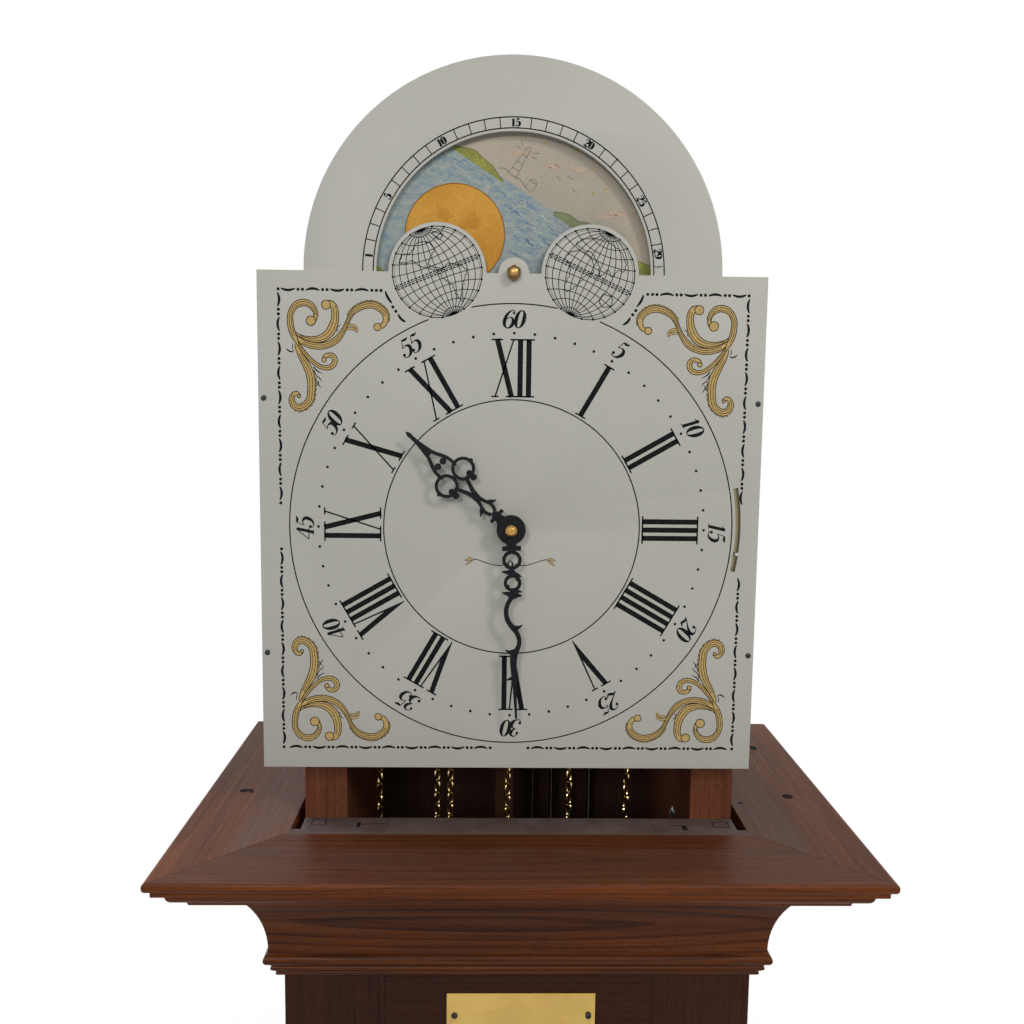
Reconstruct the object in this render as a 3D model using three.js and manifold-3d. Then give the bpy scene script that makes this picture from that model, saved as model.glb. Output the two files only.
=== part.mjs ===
// A longcase clock with its hood lifted off: wooden case, moon dial, three-train chain movement,
// weights, pendulum and chime rods. Millimetres, +X right, +Y back, +Z up, origin on the floor
// under the middle of the case.
import * as THREE from 'three';
import { mergeVertices } from 'three/addons/utils/BufferGeometryUtils.js';
import Module from 'manifold-3d';

const wasm = await Module();
wasm.setup();

// Case, driving sizes
const trunkHalfWidth = 135.25;
const corniceOverhang = 60;
const caseDepth = 261.5;
const seatHeight = 1400;
const touchGap = 0.375;
const cutOverrun = 5;

// Face frame, side boards and back board
const frameThickness = 24;
const stileWidth = 57.5;
const topRailHeight = 145;
const bottomRailHeight = 110;
const sideBoardThickness = 19;
const sideBoardFootHeight = 20;
const backBoardThickness = 9;
const backBoardRise = 300;
const backBoardFootHeight = 60;

// Cornice frame on the trunk and the cove under it
const corniceThickness = 20.5;
const corniceLap = 3;
const hoodSlotWidth = 5.5;
const hoodSlotInset = 8;
const noseRadius = 2.5;
const noseHeight = 6.5;
const stepOverhang = 56.5;
const stepDrop = 8.8;
const ogeeOverhang = 51;
const ogeeMiddleOverhang = 47.2;
const ogeeMiddleDrop = 15.6;
const corniceSoffitOverhang = 41.8;
const coveDrop = 45.5;
const coveRadius = 60.4;
const coveFootOverhang = 7.6;
const beadOverhang = 10.3;
const beadHeight = 7.4;
const beadFillet = 1.1;
const reedOverhang = 6.6;
const reedHeight = 4;
const lastReedOverhang = 3.6;
const coveFootHeight = 4.6;

// Cheeks and seat board that carry the movement
const cheekThickness = 25;
const cheekHeight = 61;
const cheekTail = 135;
const seatBoardThickness = 20;
const seatBoardDepth = 72;
const chainSlotMargin = 7;
const chainSlotWidth = 16;

// Base
const baseHeight = 430;
const baseOverhang = 42;
const basePanelThickness = 19;
const footHeight = 62;
const footLength = 62;
const footCurve = 34;
const baseMouldingHeight = 60;
const baseMouldingLip = 3;
const baseMouldingBand = 12;

// Door
const doorLip = 9;
const doorLipThickness = 8;
const doorRebate = 10;
const doorClearance = 1.25;
const doorMember = 26;
const glassThickness = 3;
const glassLap = 5;
const glassInset = 12;
const hingePinRadius = 1;
const hingeBoreClearance = 0.4;
const hingeKnuckleRadius = 2.4;
const hingeLeafThickness = 1.25;
const hingeLeafWidth = 12;
const hingeKnuckles = 7;
const hingeEndInset = 20;
const knobRadius = 11;
const knobLength = 24;
const knobHeightShare = 0.5;
const knobProfileShares = [
  [0, 1], [0.5, 1], [0.86, 0.93], [1, 0.8], [1, 0.64], [0.8, 0.52], [0.36, 0.38], [0.34, 0.18],
  [0.8, 0.1], [0.8, 0], [0, 0],
];

// Brass plate on the top rail
const plateWidth = 86.5;
const plateHeight = 29;
const plateThickness = 1.25;
const plateDrop = 95.5;
const plateOffset = 1.75;
const platePinRadius = 1.6;
const platePinInset = 4;
const platePinHead = 0.75;

// Dial
const dialOffset = -7.5;
const dialHalfWidth = 139.75;
const dialArchRadius = 114.25;
const dialThickness = 1.5;
const dialSetback = 9;
const dialGap = 36.5;
const moonWindowRadius = 74.8;
const globeOffset = 41.7;
const globeRadius = 26.7;
const humpRadius = 8.5;
const dialHoleRadius = 5.2;
const leverSlotRadius = 128.1;
const leverSlotWidth = 2.8;
const leverSlotTop = 10.5;
const leverSlotBottom = -10.8;
const dialFootRadius = 3.5;
const dialFootOffset = 60;
const dialFootTop = 46;

// Moon disc
const moonDiscRadius = 82;
const moonDiscThickness = 1;
const moonDiscDepth = 5.6;
const moonTeeth = 118;
const moonToothDepth = 1.6;
const moonStudRadius = 2;
const moonNutRadius = 4.1;
const moonNutLength = 5;
const moonDomeHeight = 3.2;
const moonDomeShares = [[0, 1], [0.55, 0.8], [0.9, 0.3]];
const moonCollarRadius = 6;
const moonCollarLength = 2;
const moonNutSides = 6;

// Hands
const handThickness = 1.25;
const minuteHandLength = 108;
const minuteHandAngle = 177.8;
const minuteHandStandoff = 11.3;
const hourHandLength = 78;
const hourHandAngle = -47.55;
const hourHandStandoff = 7.8;
const handHubRadius = 8;
const handNutRadius = 3.4;
const handNutLength = 4.6;
const handNutShares = [[0, 1], [0.6, 1], [1, 0.67], [1, 0], [0, 0]];
const strapSteps = 6;
const serpentSteps = 16;

// Movement
const plateGap = 60;
const movementPlateThickness = 2.5;
const movementStandoff = 15.25;
const movementHalfWidth = 74;
const movementHeight = 170;
const pillarRadius = 5;
const pillarInset = 10;
const arborRadius = 2.2;
const pipeWall = 1.6;
const bossRadius = 6;
const bossLength = 3;
const wheelThickness = 2;
const centreWheelRadius = 25;
const centreWheelPlaceShare = 0.2;
const centreWheelTeeth = 40;
const hourWheelRadius = 19;
const hourWheelTeeth = 36;
const toothDepth = 1.8;
const escapeWheelRadius = 17;
const escapeTeeth = 30;
const escapeToothDepth = 4;
const escapeDrop = 34;
const escapeWheelPlaceShare = 0.67;
const palletClearance = 1.5;
const anchorThickness = 3;
const anchorSpread = 42;
const anchorArmWidth = 4;
const crutchStandoff = 1.125;
const crutchLength = 64;
const crutchWidth = 7;

// Chains, sprockets and great wheels
const strikeChainX = -61;
const timeChainX = -16.7;
const chimeChainX = 58;
const sprocketRadius = 18;
const sprocketSetback = 33;
const sprocketDrop = 55.25;
const flangeRadius = 20.6;
const flangeThickness = 1.6;
const grooveWidth = 9.6;
const greatWheelRadius = 24;
const greatWheelTeeth = 40;
const greatWheelPlaceShares = { strike: 0.3, time: 0.85, chime: 0.3 };
const greatArborRadius = 3.3;
const linkHalfWidth = 3.3;
const linkHalfThickness = 0.8;
const linkPitch = 15;
const chainTopGap = 1.125;
const wrapLinks = 8;
const dropLinks = 44;
const freeLinks = 16;
const chainRingRadius = 7.5;
const chainRingWire = 1.1;
const wireSides = 6;

// Weights
const weightRadius = 23;
const weightLength = 200;
const weightCapHeight = 5;
const weightShoulderShare = 0.6;
const weightNeckRadius = 6;
const weightHookHeight = 18;
const weightHookRadius = 6;
const weightHookWire = 1.3;

// Pendulum
const pendulumSetback = 18;
const pendulumTop = 159;
const pendulumLength = 994;
const rodHalfWidth = 6;
const rodHalfThickness = 2;
const bobRadius = 56;
const bobHalfThickness = 11;
const bobEdge = 3;
const bobRings = 4;
const bobSegments = 30;
const springHalfWidth = 4;
const springHalfThickness = 0.4;
const springLength = 14;
const postHalfWidth = 7;
const postHeight = 14;
const postSlotClearance = 0.6;
const bobTravel = 4;
const ratingScrewRadius = 1.6;
const ratingScrewLength = 38;
const ratingNutRadius = 9;
const ratingNutHeight = 6;
const ratingNutGap = 0.75;

// Chime rods, hammers and lever
const hammerCount = 4;
const rodPitch = 14;
const firstRodOffset = 22;
const rodBlockHeight = 26;
const rodBlockDepth = 30;
const rodBlockDrop = 140;
const rodBlockMargin = 9.8;
const chimeRodRadius = 2;
const chimeRodSetback = 6;
const longestRod = 420;
const rodLengthStep = 36;
const hammerShaftRadius = 2;
const hammerShaftSetback = 16;
const hammerShaftDrop = 40;
const hammerShaftOverhang = 8;
const hammerBracketOffset = 9;
const hammerEyeRadius = 4.5;
const hammerArmWidth = 3;
const hammerThickness = 4;
const hammerHeadRadius = 5.5;
const hammerHeadLength = 13;
const hammerGap = 2.5;
const hammerHeadDrop = 34;
const leverAngle = -6.2;
const leverWidth = 7;
const leverThickness = 1.25;
const leverEyeWall = 4;
const leverPinRadius = 1;
const leverPinLength = 2.5;
const leverTongue = 3;

// Round surfaces, in segments
const roundSegments = 20;
const smallSegments = 10;
const archSegments = 15;
const sprocketSegments = 16;
const quarterTurn = 90;

// Places worked out from the driving sizes
const caseFront = -caseDepth / 2;
const caseBack = caseDepth / 2;
const trunkFront = caseFront + corniceOverhang;
const frameBack = trunkFront + frameThickness;
const corniceUnderside = seatHeight - corniceThickness;
const doorTop = seatHeight - topRailHeight;
const doorBottom = baseHeight + bottomRailHeight;
const doorwayHalfWidth = trunkHalfWidth - stileWidth;
const frameInnerHalfWidth = trunkHalfWidth - corniceLap;
const cheekOuter = frameInnerHalfWidth - hoodSlotWidth;
const cheekInner = cheekOuter - cheekThickness;
const sideBoardInner = trunkHalfWidth - sideBoardThickness;
const backBoardFront = caseBack - backBoardThickness;
const backBoardTop = seatHeight + backBoardRise;
const cheekTop = seatHeight + cheekHeight;
const seatBoardTop = cheekTop + seatBoardThickness;
const dialFront = trunkFront + dialSetback;
const dialBack = dialFront + dialThickness;
const hubHeight = seatHeight + dialGap + dialHalfWidth;
const moonHeight = hubHeight + dialHalfWidth;
const frontPlateFront = dialBack + movementStandoff;
const frontPlateBack = frontPlateFront + movementPlateThickness;
const backPlateFront = frontPlateBack + plateGap;
const backPlateBack = backPlateFront + movementPlateThickness;
const sprocketY = frontPlateBack + sprocketSetback;
const sprocketHeight = hubHeight - sprocketDrop;
const pendulumY = backPlateBack + pendulumSetback;
const pivotHeight = seatBoardTop + pendulumTop;
const escapeHeight = pivotHeight - escapeDrop;
const dropTop = sprocketHeight - chainTopGap;
const dropBottom = dropTop - linkPitch * dropLinks;

const clock = new THREE.Group();

// Finishes
function paint(color, roughness, metalness) {
  return new THREE.MeshStandardMaterial({ color, roughness, metalness });
}

const wood = paint(0x6b3a24, 0.5, 0);
const innerWood = paint(0x8a5a3a, 0.7, 0);
const dialPaint = paint(0xcfcdc2, 0.45, 0);
const moonPaint = paint(0xb9a46e, 0.7, 0);
const handBlack = paint(0x0b0b0d, 0.4, 0.2);
const brass = paint(0xb38a3c, 0.3, 1);
const steel = paint(0x9a9a9a, 0.35, 1);
const glass = paint(0xdfe8e8, 0.05, 0);

function put(name, solid, material) {
  const mesh = new THREE.Mesh(toGeometry(solid), material);
  mesh.name = name;
  clock.add(mesh);
}

// A geometry's shared corners are merged, its flat triangles dropped and its faces turned outwards.
function toSolid(geometry) {
  const bare = geometry.clone();
  bare.deleteAttribute('normal');
  bare.deleteAttribute('uv');
  const mergeDistance = 1e-4;
  const merged = mergeVertices(bare, mergeDistance);
  const place = merged.attributes.position;
  const corner = (i) => new THREE.Vector3().fromBufferAttribute(place, i);
  const triangles = [];
  let volume = 0;
  for (let i = 0; i < merged.index.count; i += 3) {
    const [a, b, c] = [0, 1, 2].map((k) => merged.index.getX(i + k));
    if (a === b || b === c || c === a) continue;
    triangles.push([a, b, c]);
    volume += corner(a).dot(corner(b).cross(corner(c)));
  }
  const outward = volume > 0 ? triangles : triangles.map(([a, b, c]) => [a, c, b]);
  return new wasm.Manifold(new wasm.Mesh({
    numProp: 3,
    vertProperties: new Float32Array(place.array),
    triVerts: new Uint32Array(outward.flat()),
  }));
}

function toGeometry(solid) {
  const mesh = solid.getMesh();
  const geometry = new THREE.BufferGeometry();
  geometry.setAttribute('position', new THREE.BufferAttribute(mesh.vertProperties, mesh.numProp));
  geometry.setIndex(new THREE.BufferAttribute(mesh.triVerts, 1));
  geometry.computeVertexNormals();
  return geometry;
}

const join = (solids) => solids.reduce((whole, piece) => whole.add(piece));
const cut = (solid, tools) => tools.reduce((rest, tool) => rest.subtract(tool), solid);

function block(x0, x1, y0, y1, z0, z1) {
  const geometry = new THREE.BoxGeometry(x1 - x0, y1 - y0, z1 - z0);
  geometry.translate((x0 + x1) / 2, (y0 + y1) / 2, (z0 + z1) / 2);
  return toSolid(geometry);
}

// A shape drawn in the X and Z of the clock, seen from the front, and given its thickness backwards.
function sheet(shape, front, thickness, segments = roundSegments) {
  const geometry = new THREE.ExtrudeGeometry(shape, {
    depth: thickness,
    bevelEnabled: false,
    curveSegments: segments,
  });
  geometry.rotateX(Math.PI / 2);
  geometry.translate(0, front + thickness, 0);
  return toSolid(geometry);
}

// A shape drawn in Y and Z, given its thickness along X.
function sideSheet(shape, left, thickness, segments = smallSegments) {
  const geometry = new THREE.ExtrudeGeometry(shape, {
    depth: thickness,
    bevelEnabled: false,
    curveSegments: segments,
  });
  geometry.rotateX(Math.PI / 2);
  geometry.rotateZ(Math.PI / 2);
  geometry.translate(left, 0, 0);
  return toSolid(geometry);
}

// A turned piece: its profile holds [radius, distance along its axis] and starts and ends on the axis.
function turned(profile, axis, segments = roundSegments) {
  const geometry = new THREE.LatheGeometry(profile.map(([r, h]) => new THREE.Vector2(r, h)), segments);
  if (axis === 'z') geometry.rotateX(Math.PI / 2);
  return toSolid(geometry);
}

const rod = (radius, from, to, axis, segments) =>
  turned([[0, from], [radius, from], [radius, to], [0, to]], axis, segments);

const polygon = (points) => new THREE.Shape(points.map(([x, y]) => new THREE.Vector2(x, y)));

function disc(radius, x = 0, z = 0) {
  const shape = new THREE.Shape();
  shape.absarc(x, z, radius, 0, 2 * Math.PI);
  return shape;
}

function hole(radius, x = 0, z = 0) {
  const path = new THREE.Path();
  path.absarc(x, z, radius, 0, 2 * Math.PI, true);
  return path;
}

// A length of moulding: the same profile is set out at both ends and the two are joined.
// A profile point is [overhang, height]; an end says where such a point lies on the clock.
function mouldingRun(profile, start, end) {
  const outline = profile.map(([overhang, height]) => new THREE.Vector2(overhang, height));
  if (THREE.ShapeUtils.isClockWise(outline)) outline.reverse();
  const points = [start, end].flatMap((place) => outline.map((p) => place(p.x, p.y)));
  const count = outline.length;
  const index = [];
  for (const [a, b, c] of THREE.ShapeUtils.triangulateShape(outline, [])) {
    index.push(a, b, c);
    index.push(count + c, count + b, count + a);
  }
  for (let i = 0; i < count; i += 1) {
    const next = (i + 1) % count;
    index.push(next, i, count + i);
    index.push(next, count + i, count + next);
  }
  const geometry = new THREE.BufferGeometry();
  geometry.setAttribute('position', new THREE.Float32BufferAttribute(points.flatMap((p) => p.toArray()), 3));
  geometry.setIndex(index);
  return toSolid(geometry);
}

// Ends of a moulding that goes round the trunk: mitred at a front corner, square at the back.
const mitreLeft = (o, z) => new THREE.Vector3(-trunkHalfWidth - o, trunkFront - o, z);
const mitreRight = (o, z) => new THREE.Vector3(trunkHalfWidth + o, trunkFront - o, z);
const squareLeft = (o, z) => new THREE.Vector3(-trunkHalfWidth - o, caseBack, z);
const squareRight = (o, z) => new THREE.Vector3(trunkHalfWidth + o, caseBack, z);

function putMouldings(name, profile) {
  put(`${name}_front`, mouldingRun(profile, mitreLeft, mitreRight), wood);
  put(`${name}_left`, mouldingRun(profile, squareLeft, mitreLeft), wood);
  put(`${name}_right`, mouldingRun(profile, mitreRight, squareRight), wood);
}

function curvePoints(path, divisions) {
  return path.getPoints(divisions).map((p) => [p.x, p.y]);
}

// Cornice frame: flat on top, a rounded nose, a small step and an ogee below it.
function corniceProfile() {
  const top = seatHeight;
  const noseSteps = 4;
  const path = new THREE.Path();
  path.moveTo(-corniceLap, top);
  path.lineTo(corniceOverhang - noseRadius / 2, top);
  path.quadraticCurveTo(corniceOverhang + touchGap / 2, top, corniceOverhang, top - noseRadius);
  path.quadraticCurveTo(corniceOverhang, top - noseHeight, stepOverhang, top - noseHeight);
  path.lineTo(stepOverhang, top - stepDrop);
  path.lineTo(ogeeOverhang, top - stepDrop - noseRadius / 2);
  path.quadraticCurveTo(ogeeOverhang, top - ogeeMiddleDrop, ogeeMiddleOverhang, top - ogeeMiddleDrop);
  path.quadraticCurveTo(corniceSoffitOverhang, top - ogeeMiddleDrop, corniceSoffitOverhang, corniceUnderside);
  path.lineTo(-corniceLap, corniceUnderside);
  return curvePoints(path, noseSteps);
}

// Cove moulding: a deep hollow, a bead and two reeds that die into the trunk.
function coveProfile() {
  const hollowFoot = corniceUnderside - coveDrop;
  const centreOut = coveFootOverhang + coveRadius;
  const startAngle = Math.PI - Math.asin(coveDrop / coveRadius);
  const coveSteps = 8;
  const points = [[0, corniceUnderside]];
  for (let i = 0; i <= coveSteps; i += 1) {
    const angle = startAngle + ((Math.PI - startAngle) * i) / coveSteps;
    points.push([centreOut + coveRadius * Math.cos(angle), hollowFoot + coveRadius * Math.sin(angle)]);
  }
  const beadTop = hollowFoot - beadFillet;
  points.push([beadOverhang - beadFillet, beadTop]);
  points.push([beadOverhang, beadTop - beadHeight / 3]);
  points.push([beadOverhang, beadTop - (beadHeight * 2) / 3]);
  points.push([beadOverhang - beadFillet, beadTop - beadHeight]);
  const reedTop = beadTop - beadHeight;
  points.push([reedOverhang, reedTop]);
  points.push([reedOverhang, reedTop - reedHeight / 2]);
  points.push([lastReedOverhang + beadFillet, reedTop - reedHeight]);
  points.push([lastReedOverhang, reedTop - reedHeight - coveFootHeight / 2]);
  points.push([beadFillet, reedTop - reedHeight - coveFootHeight]);
  points.push([0, reedTop - reedHeight - coveFootHeight]);
  return points;
}

// Base moulding: a hollow that spreads from the trunk to a flat band above the base.
function baseMouldingProfile() {
  const bandTop = baseHeight + baseMouldingBand;
  const reach = baseOverhang + baseMouldingLip;
  const path = new THREE.Path();
  const hollowSteps = 8;
  path.moveTo(0, baseHeight);
  path.lineTo(reach, baseHeight);
  path.lineTo(reach, bandTop - baseMouldingLip);
  path.lineTo(reach - baseMouldingLip, bandTop);
  path.quadraticCurveTo(baseMouldingLip * 2, bandTop, baseMouldingLip, baseHeight + baseMouldingHeight);
  path.lineTo(0, baseHeight + baseMouldingHeight);
  return curvePoints(path, hollowSteps);
}

function makeBaseMoulding() {
  const profile = baseMouldingProfile();
  return join([
    mouldingRun(profile, mitreLeft, mitreRight),
    mouldingRun(profile, squareLeft, mitreLeft),
    mouldingRun(profile, mitreRight, squareRight),
  ]);
}

// A stile stands full height; its head is rebated for the cornice and slotted for the hood.
function makeStile(side) {
  const span = (a, b) => (side > 0 ? [a, b] : [-b, -a]);
  const post = block(
    ...span(doorwayHalfWidth, trunkHalfWidth),
    trunkFront, frameBack, baseHeight, seatHeight,
  );
  const front = block(
    ...span(doorwayHalfWidth - cutOverrun, trunkHalfWidth + cutOverrun),
    trunkFront - cutOverrun, trunkFront + corniceLap, corniceUnderside, seatHeight + cutOverrun,
  );
  const flank = block(
    ...span(frameInnerHalfWidth, trunkHalfWidth + cutOverrun),
    trunkFront - cutOverrun, frameBack + cutOverrun, corniceUnderside, seatHeight + cutOverrun,
  );
  const slot = block(
    ...span(cheekOuter, trunkHalfWidth + cutOverrun),
    trunkFront + hoodSlotInset, frameBack + cutOverrun, corniceUnderside, seatHeight + cutOverrun,
  );
  return cut(post, [front, flank, slot]);
}

function makeTopRail() {
  const rail = block(-doorwayHalfWidth, doorwayHalfWidth, trunkFront, frameBack, doorTop, seatHeight);
  const rebate = block(
    -doorwayHalfWidth - cutOverrun, doorwayHalfWidth + cutOverrun,
    trunkFront - cutOverrun, trunkFront + corniceLap, corniceUnderside, seatHeight + cutOverrun,
  );
  return cut(rail, [rebate]);
}

function makeBottomRail() {
  return block(-doorwayHalfWidth, doorwayHalfWidth, trunkFront, frameBack, baseHeight, doorBottom);
}

// The back board is wide behind the base, narrower up the trunk and narrower still behind the hood.
function makeBackBoard() {
  const baseHalf = trunkHalfWidth + baseOverhang - basePanelThickness;
  const outline = [
    [baseHalf, backBoardFootHeight],
    [baseHalf, baseHeight],
    [trunkHalfWidth, baseHeight],
    [trunkHalfWidth, corniceUnderside],
    [cheekOuter, corniceUnderside],
    [cheekOuter, backBoardTop],
  ];
  const mirrored = outline.map(([x, z]) => [-x, z]).reverse();
  return sheet(polygon([...outline, ...mirrored]), backBoardFront, backBoardThickness);
}

// A cheek stands on the side board and laps down inside it.
function makeCheek(side) {
  const span = (a, b) => (side > 0 ? [a, b] : [-b, -a]);
  const back = backBoardFront;
  const head = block(...span(cheekInner, cheekOuter), frameBack, back, corniceUnderside, cheekTop);
  const tail = block(
    ...span(cheekInner, sideBoardInner),
    frameBack, back, corniceUnderside - cheekTail, cheekTop,
  );
  return head.add(tail);
}

function makeSeatBoard() {
  const board = block(
    -cheekOuter, cheekOuter,
    frontPlateFront - touchGap, frontPlateFront - touchGap + seatBoardDepth, cheekTop, seatBoardTop,
  );
  const reach = sprocketRadius + chainSlotMargin;
  const slots = [strikeChainX, timeChainX, chimeChainX].map((x) => block(
    dialOffset + x - reach, dialOffset + x + reach,
    sprocketY - chainSlotWidth / 2, sprocketY + chainSlotWidth / 2,
    cheekTop - cutOverrun, seatBoardTop + cutOverrun,
  ));
  return cut(board, slots);
}

function makeBrassPlate() {
  const top = seatHeight - plateDrop;
  const centre = plateOffset;
  const front = trunkFront - plateThickness;
  const body = block(
    centre - plateWidth / 2, centre + plateWidth / 2,
    front, trunkFront, top - plateHeight, top,
  );
  const pins = [-1, 1].map((side) => {
    const pin = rod(platePinRadius, front - platePinHead, trunkFront, 'y', smallSegments);
    return pin.translate([centre + side * (plateWidth / 2 - platePinInset), 0, top - plateHeight / 2]);
  });
  return join([body, ...pins]);
}

// Base panels stand on bracket feet: the foot of each board is cut away between them.
function footCut(from, to) {
  const path = new THREE.Shape();
  path.moveTo(from + footLength, -cutOverrun);
  path.lineTo(from + footLength, footHeight - footCurve);
  path.quadraticCurveTo(from + footLength, footHeight, from + footLength + footCurve, footHeight);
  path.lineTo(to - footLength - footCurve, footHeight);
  path.quadraticCurveTo(to - footLength, footHeight, to - footLength, footHeight - footCurve);
  path.lineTo(to - footLength, -cutOverrun);
  return path;
}

function makeBaseFront() {
  const half = trunkHalfWidth + baseOverhang;
  const front = trunkFront - baseOverhang;
  const panel = block(-half, half, front, front + basePanelThickness, 0, baseHeight);
  const depth = basePanelThickness + 2 * cutOverrun;
  const gap = sheet(footCut(-half, half), front - cutOverrun, depth, smallSegments);
  return cut(panel, [gap]);
}

function makeBaseSide(side) {
  const outer = trunkHalfWidth + baseOverhang;
  const inner = outer - basePanelThickness;
  const front = trunkFront - baseOverhang + basePanelThickness;
  const [x0, x1] = side > 0 ? [inner, outer] : [-outer, -inner];
  const panel = block(x0, x1, front, caseBack, 0, baseHeight);
  const gap = sideSheet(footCut(front, caseBack), x0 - cutOverrun, basePanelThickness + 2 * cutOverrun);
  return cut(panel, [gap]);
}

// Door: a lipped frame in the doorway with its glass in a rebate at the back.
const doorOuter = doorwayHalfWidth + doorLip;
const doorFace = trunkFront - touchGap - doorLipThickness;
const lightHalfWidth = doorOuter - doorMember;
const hingeX = doorOuter + hingeKnuckleRadius + touchGap;
const hingeY = trunkFront - touchGap - hingeKnuckleRadius;

function makeDoorFrame() {
  const lip = block(
    -doorOuter, doorOuter, doorFace, trunkFront - touchGap, doorBottom - doorLip, doorTop + doorLip,
  );
  const inside = block(
    -doorwayHalfWidth + doorClearance, doorwayHalfWidth - doorClearance,
    doorFace, trunkFront + doorRebate, doorBottom + doorClearance, doorTop - doorClearance,
  );
  const lightBottom = doorBottom - doorLip + doorMember;
  const lightTop = doorTop + doorLip - doorMember;
  const light = block(
    -lightHalfWidth, lightHalfWidth,
    doorFace - cutOverrun, trunkFront + doorRebate + cutOverrun, lightBottom, lightTop,
  );
  const rebate = block(
    -lightHalfWidth - glassLap, lightHalfWidth + glassLap,
    doorFace + glassInset, trunkFront + doorRebate + cutOverrun, lightBottom - glassLap, lightTop + glassLap,
  );
  return cut(lip.add(inside), [light, rebate]);
}

function makeDoorGlass() {
  const reach = glassLap - touchGap;
  const front = doorFace + glassInset;
  return block(
    -lightHalfWidth - reach, lightHalfWidth + reach, front, front + glassThickness,
    doorBottom - doorLip + doorMember - reach, doorTop + doorLip - doorMember + reach,
  );
}

function makeDoorKnob() {
  const profile = knobProfileShares.map(([r, h]) => [r * knobRadius, -h * knobLength]);
  const height = doorBottom + (doorTop - doorBottom) * knobHeightShare;
  return turned(profile, 'y').translate([-doorOuter + doorMember / 2, doorFace, height]);
}

// The long hinge has a case leaf with the pin and end knuckles, and a door leaf with the others.
function makeHingeLeaf(onDoor) {
  const bottom = doorBottom + hingeEndInset;
  const height = (doorTop - doorBottom - 2 * hingeEndInset) / hingeKnuckles;
  const mine = (i) => (i % 2 === 1) === onDoor;
  const outerGap = touchGap / 2;
  const knuckle = (i, radius, gap) => {
    const foot = bottom + i * height;
    return rod(radius, foot + gap, foot + height - gap, 'z', smallSegments).translate([hingeX, hingeY, 0]);
  };
  const all = [...Array(hingeKnuckles).keys()];
  const own = all.filter(mine).map((i) => knuckle(i, hingeKnuckleRadius, outerGap));
  const room = all.filter((i) => !mine(i)).map((i) => knuckle(i, hingeKnuckleRadius + touchGap, -outerGap));
  const top = bottom + height * hingeKnuckles;
  const leaf = onDoor
    ? block(doorOuter, doorOuter + hingeLeafThickness, doorFace, hingeY, bottom, top)
    : block(hingeX, hingeX + hingeLeafWidth, trunkFront - hingeLeafThickness, trunkFront, bottom, top);
  const body = join([cut(leaf, room), ...own]);
  if (onDoor) {
    const boreRadius = hingePinRadius + hingeBoreClearance;
    const bore = rod(boreRadius, bottom - cutOverrun, top + cutOverrun, 'z', smallSegments);
    return cut(body, [bore.translate([hingeX, hingeY, 0])]);
  }
  const pin = rod(hingePinRadius, bottom + outerGap, top - outerGap, 'z', smallSegments);
  return body.add(pin.translate([hingeX, hingeY, 0]));
}

// Dial: a square with an arch, a moon window with two globe lobes and a hump, and a lever slot.
function dialShape() {
  const shoulder = dialHalfWidth;
  const shape = new THREE.Shape();
  shape.moveTo(-dialHalfWidth, -dialHalfWidth);
  shape.lineTo(dialHalfWidth, -dialHalfWidth);
  shape.lineTo(dialHalfWidth, shoulder);
  shape.lineTo(dialArchRadius, shoulder);
  shape.absarc(0, shoulder, dialArchRadius, 0, Math.PI, false);
  shape.lineTo(-dialHalfWidth, shoulder);
  shape.holes.push(leverSlot(), hole(dialHoleRadius));
  shape.holes.push(hole(moonStudRadius + touchGap, 0, shoulder));
  return shape;
}

function moonWindow(base) {
  const path = new THREE.Shape();
  path.moveTo(moonWindowRadius, base);
  path.absarc(0, base, moonWindowRadius, 0, Math.PI, false);
  path.lineTo(-globeOffset - globeRadius, base);
  path.absarc(-globeOffset, base, globeRadius, Math.PI, 0, true);
  path.lineTo(-humpRadius, base);
  path.absarc(0, base, humpRadius, Math.PI, 0, true);
  path.lineTo(globeOffset - globeRadius, base);
  path.absarc(globeOffset, base, globeRadius, Math.PI, 0, true);
  return path;
}

function leverSlot() {
  const [top, bottom] = [leverSlotTop, leverSlotBottom].map(THREE.MathUtils.degToRad);
  const half = leverSlotWidth / 2;
  const path = new THREE.Path();
  path.absarc(0, 0, leverSlotRadius + half, bottom, top, false);
  path.absarc(0, 0, leverSlotRadius - half, top, bottom, true);
  return path;
}

function makeDial() {
  const blank = sheet(dialShape(), dialFront, dialThickness, archSegments);
  const window = sheet(
    moonWindow(dialHalfWidth), dialFront - cutOverrun, dialThickness + 2 * cutOverrun, archSegments,
  );
  const plate = cut(blank, [window]);
  const feet = [-1, 1].flatMap((sx) => [-dialFootOffset, dialFootTop].map((z) => {
    const foot = rod(dialFootRadius, dialFront + dialThickness / 2, frontPlateFront, 'y', smallSegments);
    return foot.translate([sx * dialFootOffset, 0, z]);
  }));
  return join([plate, ...feet]).translate([dialOffset, 0, hubHeight]);
}

// Toothed outline: its points stand by turns at the foot and at the tip of a tooth.
function toothedShape(teeth, radius, depth) {
  const points = [];
  for (let i = 0; i < 2 * teeth; i += 1) {
    const angle = (Math.PI * i) / teeth;
    const r = i % 2 === 0 ? radius - depth : radius;
    points.push([r * Math.cos(angle), r * Math.sin(angle)]);
  }
  return polygon(points);
}

// Spoke openings of a wheel: each is a sector between the boss and the rim.
function addSpokes(shape, inner, outer, spokes) {
  const spokeShare = 0.16;
  for (let i = 0; i < spokes; i += 1) {
    const from = (2 * Math.PI * (i + spokeShare)) / spokes;
    const to = (2 * Math.PI * (i + 1 - spokeShare)) / spokes;
    const path = new THREE.Path();
    path.absarc(0, 0, outer, from, to, false);
    path.absarc(0, 0, inner, to, from, true);
    shape.holes.push(path);
  }
  return shape;
}

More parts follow.
